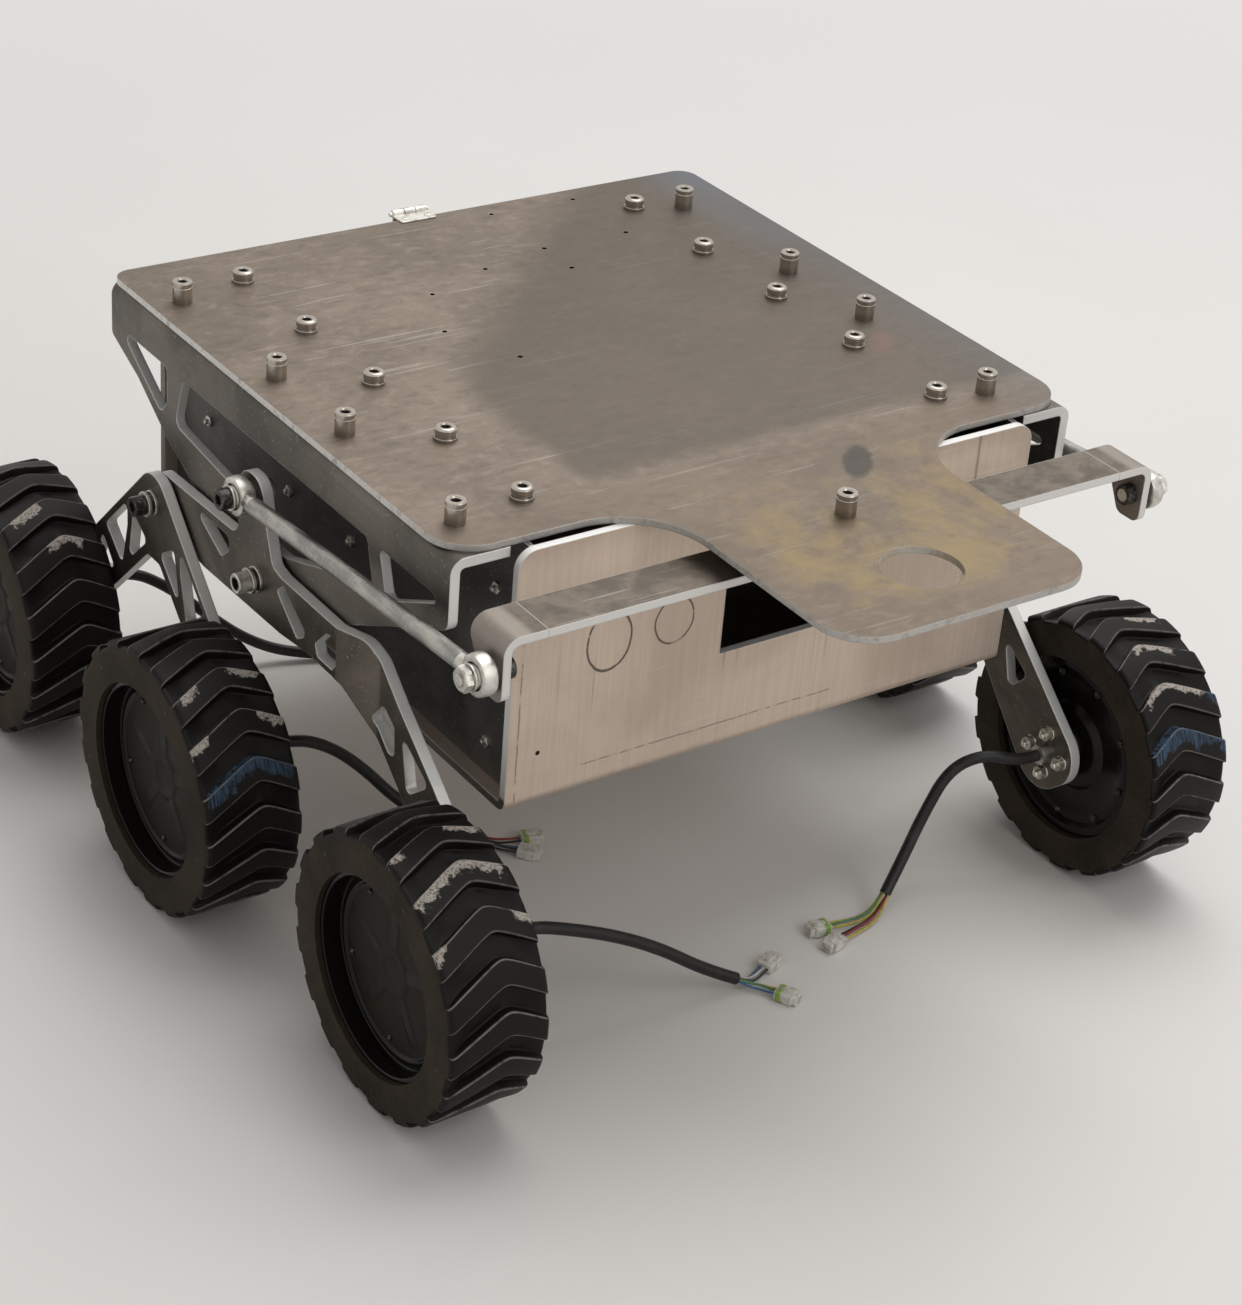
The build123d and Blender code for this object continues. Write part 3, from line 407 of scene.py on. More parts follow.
def turned(rows, start, direction, count=36, number=0):
    """Part turned about a line: rows of mm along it and mm of radius run from its base outwards.  A row with
    a 6 has six flats at that radius, and its points lie further out by the cosine of the turn from a flat."""
    rows = np.array([(*row, 0)[:3] for row in rows], dtype=float) / (1000, 1000, 1)
    axis = np.array(direction, dtype=float)
    axis = axis / np.linalg.norm(axis)
    aside = np.cross(axis, (0.0, 0.0, 1.0) if abs(axis[2]) < 0.9 else (0.0, 1.0, 0.0))
    aside = aside / np.linalg.norm(aside)
    upright = np.cross(axis, aside)
    angle = np.linspace(0, 2 * pi, count, endpoint=False)[:, None]
    from_flat = np.mod(angle, pi / 3) - pi / 6
    radius = rows[None, :, 1] * np.where(rows[None, :, 2] == 6, 1 / np.cos(from_flat), 1.0)
    circle = np.cos(angle)[..., None] * aside + np.sin(angle)[..., None] * upright
    points = np.array(start) + rows[None, :, :1] * axis + radius[..., None] * circle
    return points, lattice(points, closed_around=True), number


zinc_steel, shader, place = new_finish("zinc_plated_steel", 0.95, 0.3)
tone = clouds(place, 120.0, 3.0)
feed(shader, colour=blended(between(tone, 0.35, 0.65), (0.46, 0.44, 0.40), (0.70, 0.68, 0.63)),
     rough=between(tone, 0.3, 0.7, 0.30, 0.50))
relief(shader, clouds(place, 900.0, 2.0), 0.04, 0.0001)

stud_rows = [(0, 0), (0, 3.3, 6), (1.6, 3.3, 6), (1.9, 2.9), (1.9, 1.7), (3.8, 1.7), (4.2, 1.3), (4.2, 0)]
stud_places = [(0.188, 0.221), (0.085, 0.220), (0.0104, 0.222), (-0.145, 0.269), (-0.143, 0.169)]
both_sides = (("left", -1), ("right", 1))
for name, side in both_sides:
    parts = [turned(stud_rows, (side * 0.1719, y, z), (side, 0, 0), 18) for y, z in stud_places]
    studs = surface_piece(f"panel_studs_{name}", parts, [zinc_steel])
    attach(studs, "chassis")

# Side frames: lightened plates whose top edge is rolled in under the deck.
# Their faces are dull from the mill, and their laser-cut edges are painted bright: a painted highlight,
# partly the bare cut metal.
plate_cut_highlight = (0.78, 0.765, 0.74)
frame_metal = sheet_metal(
    "side_frame_metal", grain=(60.0, 9.0, 800.0), stains=10.0, dull=(0.093, 0.085, 0.073),
    clean=(0.187, 0.168, 0.142), roughness=(0.34, 0.5), facing="X", cut_highlight_colour=plate_cut_highlight, roll_start=0.286)[0]
cover(["side_frame_left", "side_frame_right"], frame_metal)

# Deck: a flat 4 mm lid with a tongue at its front for a mast.  The sheet is
# brushed along its width and has gone cloudy, with yellow dirt on the tongue.
# The deck's edge faces are painted pale: a painted highlight.
deck_metal, shader, place, base = sheet_metal(
    "deck_sheet_metal", grain=(60.0, 700.0, 700.0), stains=7.0, dull=(0.195, 0.158, 0.126),
    clean=(0.262, 0.213, 0.171), roughness=(0.46, 0.62), metallic=0.8, facing="Z",
    cut_highlight_colour=(0.80, 0.78, 0.75))
axes = split(place)
mottle = clouds(stretched(place, (75.0, 120.0, 90.0)), 1.0, 8.0, 0.72, 0.5)
base = blended(between(mottle, 0.50, 0.68, 0.0, 0.38), base, (0.371, 0.304, 0.248))
base = blended(between(mottle, 0.49, 0.33, 0.0, 0.46), base, (0.118, 0.095, 0.076))
# A darker patch in the deck's middle with a sharp left border: a painted reflection.
stray = times(minus(clouds(place, 16.0, 4.0), 0.5), 0.03)
reflection_left_edge = between(plus(axes["X"], stray), -0.118, -0.098)
reflection_front_edge = between(plus(axes["Y"], stray), -0.138, -0.118)
reflection_back_edge = between(minus(axes["Y"], axes["X"]), 0.085, 0.145, 1.0, 0.0)
base = tinted(base, times(reflection_left_edge, reflection_front_edge, reflection_back_edge), 0.74, (0.111, 0.094, 0.077))
# Darker towards the front and over the tongue.
front_darkening = in_range(axes["Y"], -0.360, -0.165, 0.05)
base = tinted(base, front_darkening, 0.45, (0.143, 0.112, 0.084))
dirt = between(clouds(stretched(place, (17.0, 13.0, 17.0)), 1.0, 6.0, 0.68, 0.3), 0.40, 0.60)
dirt = times(dirt, in_range(axes["X"], -0.055, 0.085, 0.03), in_range(axes["Y"], -0.300, -0.185, 0.03))
base = tinted(base, dirt, 0.6, (0.301, 0.224, 0.108))
spots = [
    # x and y of the middle, half length and half width, colour, weight
    ((0.0465, -0.1778), (0.0205, 0.0085), (0.059, 0.058, 0.055), 0.78),
    ((0.1628, -0.0541), (0.0170, 0.0075), (0.252, 0.133, 0.105), 0.28),
]
for (middle_x, middle_y), half, colour, weight in spots:
    lean_x, lean_y = minus(axes["X"], middle_x), minus(axes["Y"], middle_y)
    long_way = plus(times(lean_x, 0.451), times(lean_y, 0.923))
    short_way = minus(times(lean_x, 0.800), times(lean_y, 0.636))
    out = maths("POWER", distance_out(long_way, short_way, (0.0, 0.0), half), 2.0)
    uneven = times(minus(mottle, 0.5), 1.6)
    base = blended(between(plus(out, uneven), 1.4, 0.6, 0.0, weight), base, colour)
bluish = times(between(axes["X"], 0.160, 0.220), between(clouds(place, 5.0, 2.0), 0.4, 0.6, 0.2, 0.7))
base = tinted(base, bluish, 0.85, (0.147, 0.175, 0.217))
# The walls of the holes inside the deck are painted near-black: painted shade in the holes.
hole_wall_shade = times(in_range(axes["X"], -0.19, 0.19, 0.002), in_range(axes["Y"], -0.125, 0.225, 0.002),
                between(size_of(facing_of(shader)["Z"]), 0.6, 0.3))
base = blended(hole_wall_shade, base, (0.018, 0.016, 0.014))
feed(shader, colour=base)
cover(["deck_plate"], deck_metal)

# Hinge: a small zinc-plated butt hinge over the deck's back edge.  Its two thin
# leaves are screwed to the deck and the tub, and three knuckles turn on a loose pin.
half_width, half_thickness, up = 0.0132, 0.00065, (0, 0, 1)


def squared(value, power):
    """A sine or cosine with its sign kept and its size raised to a small power, for a squarish outline."""
    return np.sign(value) * np.abs(value) ** power


def slab(middle, half):
    """Block with softened corners: a squarish outline in x and y, drawn in a little at both faces."""
    soft = 0.0003
    angle = np.linspace(0, 2 * pi, 64, endpoint=False)[:, None]
    height = np.array([-half[2], -half[2], -half[2] + soft, half[2] - soft, half[2], half[2]])
    spread, drawn = np.array([0, 1, 1, 1, 1, 0]), np.array([0, soft, 0, 0, soft, 0])
    x = squared(np.cos(angle), 0.12) * (half[0] * spread - drawn)
    y = squared(np.sin(angle), 0.12) * (half[1] * spread - drawn)
    points = np.stack(np.broadcast_arrays(x, y, height), -1) + np.array(middle)
    return points, lattice(points, closed_around=True), 0


knuckle_rows = [(-14.2, 0), (-14.2, 1.6), (-12.6, 1.6)]
for start in (-12.6, -4.2, 4.2):
    knuckle_rows += [(start + 0.1, 2.4), (start + 0.5, 2.9), (start + 7.9, 2.9), (start + 8.3, 2.4),
                     (start + 8.4, 1.7)]
knuckle_rows += [(14.2, 1.6), (14.2, 0)]
screw_rows = [(0, 0), (0, 2.1), (0.5, 2.1), (0.7, 1.8), (0.7, 0.9, 6), (0.2, 0.8, 6), (0.2, 0)]
parts = [turned(knuckle_rows, (0.0, 0.2410, 0.3130), (1, 0, 0), 24),
         slab((0.0, 0.2336, 0.31262), (half_width, 0.0070, half_thickness)),
         slab((0.0, 0.23865, 0.3055), (half_width, half_thickness, 0.0065))]
for x in (-0.0085, 0.0085):
    parts.append(turned(screw_rows, (x, 0.2312, 0.3132), up, 18))
    parts.append(turned(screw_rows, (x, 0.2392, 0.3030), (0, 1, 0), 18))
hinge = surface_piece("deck_butt_hinge", parts, [zinc_steel])
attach(hinge, "chassis")
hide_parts("deck_hinge")

# Standoffs: nickel-plated steel bushes screwed into the deck, eight tall plain
# ones and ten short ones with a flange, all with a threaded bore.
nickel, shader, place = new_finish("nickel_plated_steel", 0.95, 0.28)
tarnish = between(clouds(place, 240.0, 4.0), 0.4, 0.65)
base = blended(tarnish, (0.52, 0.475, 0.425), (0.44, 0.40, 0.355))
# Darker towards the foot of each standoff: painted shade.
base = tinted(base, between(split(place)["Z"], 0.3185, 0.3135), 0.55, (0.19, 0.17, 0.15))
feed(shader, colour=base, rough=between(tarnish, 0.0, 1.0, 0.20, 0.32))
relief(shader, clouds(stretched(place, (60.0, 60.0, 1500.0)), 1.0, 2.0), 0.06, 0.0001)
# Bores, sockets and small pits are painted near-black: painted shade in the recesses.
recess_shade, shader, place = new_finish("recess_painted_shade", 0.6, 0.5)
feed(shader, colour=blended(clouds(place, 600.0), (0.012, 0.011, 0.010), (0.05, 0.045, 0.04)))

tall_rows = [(0, 0), (0, 6), (10.2, 6), (10.5, 5.7), (11, 5.7), (11.3, 6), (13.3, 6), (14, 5.4), (14, 3.4),
             (13.2, 2.8)]
short_rows = [(0, 0), (0, 7), (1.7, 7), (2.2, 6.6), (2.3, 5.5), (3.4, 5.5), (3.6, 6.3), (6.8, 6.3),
              (7.8, 5.5), (8, 5), (8, 3.4), (7.3, 2.8)]
bore_rows = [(0.6, 2.8), (0, 2.5), (-5.5, 2.5), (-5.5, 0)]
tall_places = [(x, y) for x in (-0.1975, 0.1750) for y in (0.1755, 0.0580, -0.0210, -0.1385)]
short_places = [(x, y) for x in (-0.1500, 0.1430) for y in (0.1875, 0.1080, 0.0285, -0.0510, -0.1305)]
deck_face = 0.3120


def shifted(rows, along):
    """Turned rows moved along their line."""
    return [(along + height, *rest) for height, *rest in rows]


standoff_table = [
    # name, rows, places, mm from the deck up to where the bore starts
    ("tall", tall_rows, tall_places, 12.6),
    ("short", short_rows, short_places, 6.7),
]
for name, rows, places, bore_top in standoff_table:
    parts = []
    for x, y in places:
        parts.append(turned(rows, (x, y, deck_face), up))
        parts.append(turned(shifted(bore_rows, bore_top), (x, y, deck_face), up, number=1))
    bushes = surface_piece(f"threaded_standoffs_{name}", parts, [nickel, recess_shade])
    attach(bushes, "chassis")
    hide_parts(f"standoffs_{name}")

# Rockers: 7 mm plates that carry the front wheels and the bogies, with the front
# arm joggled inwards beside its wheel.  Grey faces, and cut edges painted bright:
# a painted highlight, partly the bare cut metal.
rocker_metal = sheet_metal(
    "rocker_plate_metal", grain=(60.0, 14.0, 800.0), stains=12.0, dull=(0.108, 0.095, 0.079),
    clean=(0.205, 0.178, 0.147), roughness=(0.34, 0.52), facing="X", cut_highlight_colour=plate_cut_highlight)[0]
cover(["rocker_left", "rocker_right"], rocker_metal)

# Bogies: the same plate cut to an upside down V, one on each side, that hangs on
# its rocker's rear bolt and has a wheel at either end.
# Like the rockers, its cut edges are painted bright: a painted highlight, partly the bare cut metal.
bogie_metal = sheet_metal(
    "bogie_plate_metal", grain=(60.0, 600.0, 20.0), stains=12.0, dull=(0.095, 0.085, 0.071),
    clean=(0.182, 0.160, 0.133), roughness=(0.34, 0.52), facing="X", cut_highlight_colour=plate_cut_highlight)[0]
cover(["bogie_left", "bogie_right"], bogie_metal)

# Pivot bolts: shoulder bolts with socket heads outside, zinc at the rocker and
# black at the bogie, washers on both faces of the joint, and a nut inside.
black_steel, shader, place = new_finish("black_oxide_steel", 0.75, 0.38)
rub = between(clouds(place, 500.0, 3.0), 0.45, 0.68)
feed(shader, colour=blended(rub, (0.040, 0.038, 0.036), (0.13, 0.12, 0.11)),
     rough=between(rub, 0.0, 1.0, 0.30, 0.5))


def washer(inner, outer, radius, bore):
    """Rows of a flat ring from inner to outer along its line, its rims slightly rounded."""
    soft = 0.3
    return [(inner, bore), (inner, radius - soft), (inner + soft, radius), (outer - soft, radius),
            (outer, radius - soft), (outer, bore), (inner, bore)]


def hex_nut(inner, outer, flats):
    """Rows of a nut: six flats between two chamfered faces."""
    chamfer = 0.7
    return [(inner, 0), (inner, flats * 0.95), (inner + chamfer, flats, 6), (outer - chamfer, flats, 6),
            (outer, flats * 0.95), (outer, 0)]


def cap_screw(inner, outer, radius, flats, depth, origin, direction, number=0):
    """Two turned parts: a cap screw's head with a chamfered rim, and the hexagonal socket in it, painted
    near-black as shade.
    """
    head = [(inner, 0), (inner, radius * 0.9), (inner + 0.3, radius), (outer - 0.5, radius),
            (outer, radius * 0.92), (outer, flats * 1.3)]
    socket = [(outer, flats * 1.3), (outer - 0.3, flats, 6), (outer - depth, flats, 6), (outer - depth, 0)]
    return [turned(head, origin, direction, 48, number), turned(socket, origin, direction, 48, 2)]


bolt_table = [
    # y and z of the joint; nut, inner washer, outer washers and head in mm along the bolt; the head's finish
    (0.0250, 0.2030, (205.5, 212), (218, 219.5), (226.5, 233), (233, 241), 1),
    (0.14125, 0.2000, (213, 219.5), (226.5, 228), (235, 241.5), (241.5, 249.5), 0),
]
for name, side in both_sides:
    parts = []
    for y, z, nut, inner, outer, head, head_finish in bolt_table:
        origin, direction = (0.0, y, z), (side, 0, 0)
        parts.append(turned(hex_nut(*nut, 6.5), origin, direction, number=1))
        parts.append(turned(washer(*inner, 8.2, 4), origin, direction, 40, 1))
        third = (outer[1] - outer[0]) / 3
        for step, radius, number in ((0, 8, 1), (1, 7, 0), (2, 8, 1)):
            ring = washer(outer[0] + step * third, outer[0] + (step + 0.98) * third, radius, 4)
            parts.append(turned(ring, origin, direction, 40, number))
        parts += cap_screw(*head, 6.3, 3.2, 5, origin, direction, head_finish)
        tip = [(nut[0] - 3, 0), (nut[0] - 3, 3.6), (nut[0] - 2.6, 4), (nut[0], 4), (nut[0], 0)]
        parts.append(turned(tip, origin, direction, 24, 1))
    bolts = surface_piece(f"pivot_bolt_set_{name}", parts, [black_steel, zinc_steel, recess_shade])
    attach(bolts, "chassis")
    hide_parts(f"pivot_bolts_{name}")

# Differential bar: one 5 mm strip that turns on a post under the deck's tongue,
# bent down at both ends to an ear.  It is brushed along its length and scribed.
bar_metal, shader, place, base = sheet_metal(
    "bar_strip_metal", grain=(60.0, 500.0, 30.0), stains=60.0, dull=(0.124, 0.105, 0.086),
    clean=(0.204, 0.173, 0.143), roughness=(0.46, 0.62), metallic=0.8)
from_middle = size_of(split(place)["X"])
base = tinted(base, between(from_middle, 0.2060, 0.2120), 0.6, (0.370, 0.333, 0.296))
# The strip's front and back faces are painted pale: a painted highlight.
cut_highlight = between(size_of(facing_of(shader)["Y"]), 0.6, 0.9)
base = blended(cut_highlight, base, (0.72, 0.70, 0.67))
base = tinted(base, in_range(from_middle, 0.1993, 0.1997, 0.0003), 0.6, (0.459, 0.444, 0.414))
feed(shader, colour=base, metal=between(cut_highlight, 0.0, 1.0, 0.85, 0.35))
cover(["differential_bar"], bar_metal)
bar_y = -0.2255
foot = (0, bar_y, deck_face)
post = [turned(hex_nut(-26.5, -20, 6.5), foot, up),
        turned(washer(-15, -9.6, 9, 5), foot, up, 40),
        turned(washer(-9.5, -4, 9, 5), foot, up, 40),
        turned(tall_rows, foot, up),
        turned(shifted(bore_rows, 12.6), foot, up, number=1)]
pivot_post = surface_piece("bar_pivot_post", post, [nickel, recess_shade])
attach(pivot_post, "chassis")
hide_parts("bar_pivot")

# Tie rods: zinc-plated steel tubes from the bar's ears to the rockers' horns,
# each screwed into an eye with a ball in it at both ends.
tube_zinc, shader, place = new_finish("dull_zinc_tube", 0.9, 0.42)
blotch = clouds(stretched(place, (120.0, 30.0, 120.0)), 1.0, 5.0, 0.65)
rings = clouds(stretched(place, (0.0, 620.0, 60.0)), 1.0, 2.0)
base = blended(between(blotch, 0.38, 0.62), (0.27, 0.27, 0.25), (0.47, 0.46, 0.42))
base = blended(between(rings, 0.55, 0.72, 0.0, 0.35), base, (0.62, 0.60, 0.56))
feed(shader, colour=base, rough=between(blotch, 0.35, 0.65, 0.34, 0.52))
relief(shader, rings, 0.1, 0.0002)

joints_yz = {"bar": (bar_y, 0.2740), "horn": (0.0343, 0.2551)}
eye_rows = [(-4.5, 8.1), (-4.5, 10.4), (-3.8, 11.6), (-1.8, 12), (1.8, 12), (3.8, 11.6), (4.5, 10.4),
            (4.5, 8.1)]
throat_rows = [(4.5, 8.1), (3, 7.9), (-3, 7.9), (-4.5, 8.1)]
ball_arc = [(7.8 * sin(angle), 7.8 * cos(angle)) for angle in np.linspace(-0.80, 0.80, 11)]
ball_rows = [(-6, 0), (-6, 4), *ball_arc, (6, 4), (6, 0)]
shank_rows = [(9.5, 0), (9.5, 4.4), (14, 4.7), (17.2, 4.9), (17.6, 4.9), (17.6, 0)]
tube_end = [(10, 0), (10, 4.2), (17, 4.2), (17.6, 4.7), (18, 5.2)]
for name, side in both_sides:
    ends = {key: np.array([side * 0.2338, y, z]) for key, (y, z) in joints_yz.items()}
    run = ends["horn"] - ends["bar"]
    length = 1000 * np.linalg.norm(run)
    tube = tube_end + [(length - along, radius) for along, radius in tube_end[::-1]]
    parts = [turned(tube, ends["bar"], run, number=1)]
    for key, turn_to in (("bar", run), ("horn", -run)):
        for rows, direction, count in ((eye_rows, (side, 0, 0), 48), (throat_rows, (side, 0, 0), 48),
                                       (ball_rows, (side, 0, 0), 36), (shank_rows, turn_to, 30)):
            parts.append(turned(rows, ends[key], direction, count))
    rod = surface_piece(f"tie_rod_assembly_{name}", parts, [zinc_steel, tube_zinc])
    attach(rod, "chassis")
    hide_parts(f"tie_rod_{name}")

# Rod bolts: a black cap screw and a zinc nut, with washers on both sides of the
# ball.  At the bar the nut is outside, and at the rocker's horn the screw's head.
for name, side in both_sides:
    parts, outward = [], (side, 0, 0)
    for key, inner in (("bar", (215, 221.5)), ("horn", (213, 219.5))):
        origin = (0.0, *joints_yz[key])
        if key == "bar":
            parts += cap_screw(-inner[1], -inner[0], 6.5, 3, 4, origin, (-side, 0, 0))
        else:
            parts.append(turned(hex_nut(*inner, 6.5), origin, outward, number=1))
        parts.append(turned(washer(226.5, 228, 7.5, 4), origin, outward, 40, 1))
        parts.append(turned(washer(239.8, 241.1, 8, 4), origin, outward, 40, 1))
        parts.append(turned([(inner[0], 0), (inner[0], 4), (239.8, 4), (239.8, 0)], origin, outward, 24, 1))
    origin = (0.0, *joints_yz["bar"])
    parts.append(turned(hex_nut(241.1, 246.2, 6.5), origin, outward, number=1))
    tip = [(245.5, 0), (245.5, 3.6), (247.2, 3.6), (247.6, 3.1), (247.6, 0)]
    parts.append(turned(tip, origin, outward, 24, 1))
    parts += cap_screw(241.1, 247.6, 6.5, 3, 4, (0.0, *joints_yz["horn"]), outward)
    bolts = surface_piece(f"rod_bolt_set_{name}", parts, [black_steel, zinc_steel, recess_shade])
    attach(bolts, "chassis")
    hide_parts(f"rod_bolts_{name}")

# Axles: each motor's fixed steel shaft has a flange on the arm's outer face, held
# by four bolts with their nuts on the inner face, and a sleeve for the cable.
wheel_table = [
    # name, side, the arm's inner face, y of the axle
    ("front_left", -1, 0.208, -0.2075),
    ("front_right", 1, 0.208, -0.2075),
    ("middle_left", -1, 0.228, 0.0250),
    ("middle_right", 1, 0.228, 0.0250),
    ("rear_left", -1, 0.228, 0.2575),
    ("rear_right", 1, 0.228, 0.2575),
]
axle_z = 0.085
# A lighter, glossier copy of the zinc for the clamp nuts: painted light for the light they catch.
zinc_painted_lighter, shader, place = new_finish("clamp_nut_zinc_painted_lighter", 1.0, 0.2)
tone = between(clouds(place, 260.0, 3.0), 0.35, 0.65)
feed(shader, colour=blended(tone, (0.66, 0.62, 0.54), (0.90, 0.87, 0.80)),
     rough=between(tone, 0.0, 1.0, 0.12, 0.3))
bolt_out = 0.01414
flange_rows = [(0, 0), (0, 4.6), (0.7, 4.6), (0.9, 4.4), (0.9, 0)]
tip_rows = [(4, 0), (4, 2.3), (7.2, 2.3), (7.8, 1.7), (7.8, 0)]
for name, side, arm_face, axle_y in wheel_table:
    cover([f"axle_{name}"], zinc_steel)
    parts = []
    for angle in (0, pi / 2, pi, 3 * pi / 2):
        start = (side * arm_face, axle_y + bolt_out * sin(angle), axle_z + bolt_out * cos(angle))
        for rows, count in ((flange_rows, 24), (hex_nut(0.9, 4.5, 3.8), 24), (tip_rows, 16)):
            parts.append(turned(rows, start, (-side, 0, 0), count))
    nuts = surface_piece(f"clamp_nuts_{name}", parts, [zinc_painted_lighter])
    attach(nuts, "chassis")

# Tyres: black moulded rubber with eighteen tall chevron lugs and flat, dusty
# side walls.  Each is pressed over the rim of its hub motor.
tyre_radius, tread_floor, tyre_width = 0.085, 0.079, 0.062
lug_count, apex_in, sweep_in, sweep_out, apex_round = 18, 0.025, 0.0148, 0.0193, 0.004
lug_width, smear_end, rise_row = 12.8, 4, 12


def wheel_place(x, radius, angle, wheel_x, wheel_y, side):
    """Points from a place along the axle, a radius, and an angle from the top towards the front."""
    x, radius, angle = np.broadcast_arrays(x, radius, angle)
    y, z = wheel_y - radius * np.sin(angle), axle_z + radius * np.cos(angle)
    return np.stack([side * (wheel_x + x), y, z], -1)


def smear_layer(smears, x, upper):
    """How deep each point of the tread lies in a smear: 1 at a lug's upper edge, 0 at the smear's border,
    -1 beyond.  A smear runs along one lug's upper edge, from start to stop across the tyre.  Each lug's
    rows from rise_row on are the rise to the next lug, and take that one's smears."""
    depth = np.full((lug_count, len(upper), len(x)), -1.0)
    for lug, start, stop, width in smears:
        down = 1 - (1 - upper[:, None]) * lug_width / width
        along = np.minimum(1000 * x - start, stop - 1000 * x)[None, :] / smear_end
        inside = np.clip(np.minimum(down, along), -1, 1)
        depth[lug, :rise_row] = np.maximum(depth[lug, :rise_row], inside[:rise_row])
        depth[lug - 1, rise_row:] = np.maximum(depth[lug - 1, rise_row:], inside[rise_row:])
    return depth.reshape(-1, len(x))


def lugged_tread(wheel_x, wheel_y, side, white, blue):
    """Tyre as a grid of angle by place across.  The radius goes between the tread's floor and the
    lugs' tops by the place within one lug, and the angle is swept back from the chevron's rounded apex."""
    half_turn = np.arcsin((sweep_in + sweep_out) / 2 / tyre_radius)
    pitch = 2 * pi / lug_count
    degrees = [0.0, 0.32, 0.70, 3.4, 6.6, 9.3, 9.68, 10.0, 10.12, 10.55, 11.3, 15.0, 18.7, 19.45, 19.88]
    height = np.array([0.93, 1.0, 1.0, 1.0, 1.0, 1.0, 1.0, 0.93, 0.78, 0.10, 0.0, 0.0, 0.0, 0.10, 0.78])
    # Rows at each lug's edges, which are painted pale: wear and a painted highlight.
    lug_edge_rows_lit_and_worn = np.array([1.0, 1.0, 0.0, 0.0, 0.0, 0.0, 0.7, 0.7, 0.0, 0.0, 0.0, 0.0, 0.0, 0.0, 0.0])
    upper = np.array([1.0, 1.0, 1.0, 0.69, 0.31, 0.0, 0.0, 0.0, 0.0, 0.0, 0.0, 0.0, 0.1, 0.6, 0.95])
    start = pi - 2 * half_turn
    angle = (start + pitch * np.arange(lug_count)[:, None] + np.radians(degrees)[None, :]).ravel()
    height = np.tile(height, lug_count)
    shoulder = [0.0008, 0.0018, 0.0034]
    inside = np.array([0.0, 0.0, 0.0, 0.0, 0.0001, 0.0003, *shoulder])
    tread = np.array([8, 14, 18.5, 21.5, 23.5, 25, 26.5, 28.5, 31.5, 37, 44, 51]) / 1000
    x = np.concatenate([inside, tread, tyre_width - inside[::-1]])
    wall_top = np.array([60, 66, 72, 76.5, 79.2, 82, 83.8, 84.6, 85]) / 1000
    wall_floor = np.array([60, 66, 72, 76.2, 78.5, 80.2, 81.2, 81.6, 81.6]) / 1000
    top = np.concatenate([wall_top, np.full(len(tread), tyre_radius), wall_top[::-1]])
    from_side = np.minimum(tread, tyre_width - tread)
    tread_bed = tread_floor + 0.0026 * np.clip(1 - (from_side - 0.0034) / 0.008, 0, 1)
    floor = np.concatenate([wall_floor, tread_bed, wall_floor[::-1]])
    offset = x - apex_in
    reach = np.where(offset < 0, apex_in, tyre_width - apex_in)
    sweep = np.where(offset < 0, sweep_in, sweep_out)
    swept = sweep / reach * (np.sqrt(offset ** 2 + apex_round ** 2) - apex_round) / tyre_radius
    radius = floor[None, :] + height[:, None] * (top - floor)[None, :]
    on_tread = (x > 0.0005) & (x < tyre_width - 0.0005)
    lug_edges_lit_and_worn = np.tile(lug_edge_rows_lit_and_worn, lug_count)[:, None] * on_tread[None, :]
    tops = height[:, None] * (np.abs(x - tyre_width / 2) < tyre_width / 2 - 0.001)[None, :]
    places = wheel_place(x[None, :], radius, angle[:, None] + swept[None, :], wheel_x, wheel_y, side)
    layers = {"lug_edge_light_and_wear": lug_edges_lit_and_worn, "lug_top": tops, "white_smear": smear_layer(white, x, upper),
              "blue_smear": smear_layer(blue, x, upper)}
    return places, [(key, values, -1.0) for key, values in layers.items()]


dust, taken, given = new_group("settled_dust", {"Place": a_vector, "Cover": a_number}, {"Mask": a_number})
broad, fine = clouds(taken["Place"], 22.0, 5.0, 0.6), clouds(taken["Place"], 420.0, 2.0, 0.5)
mixed = plus(times(broad, 0.75), times(fine, 0.25))
edge = minus(0.8, times(taken["Cover"], 0.6))
covered = add_node("ShaderNodeMapRange", {"Value": mixed, "From Min": edge, "From Max": 0.75})
dust.links.new(covered.outputs["Result"], given["Mask"])


def layer_of(shader, name):
    """Value of one of the mesh's own layers."""
    return add_node("ShaderNodeAttribute", tree=shader.id_data, attribute_name=name).outputs["Fac"]


def dusted(place, cover):
    """Mask of dust that has settled on a surface, from none at 0 to nearly all at 1."""
    return add_node("ShaderNodeGroup", {"Place": place, "Cover": cover}, node_tree=dust).outputs["Mask"]


tread_rubber, shader, place = new_finish("tread_rubber", 0.0, 0.5)
lug_edges_lit_and_worn = layer_of(shader, "lug_edge_light_and_wear")
tops = between(layer_of(shader, "lug_top"), 0.80, 0.97)


def smeared(layer, size, roughness):
    """Mask of a ragged smear: the tread's own smear layer, with its border and middle broken up by noise."""
    depth = layer_of(shader, layer)
    broken = minus(clouds(place, size, 6.0, roughness), 0.5)
    return between(plus(depth, times(broken, 3.2)), 0.08, 0.36)


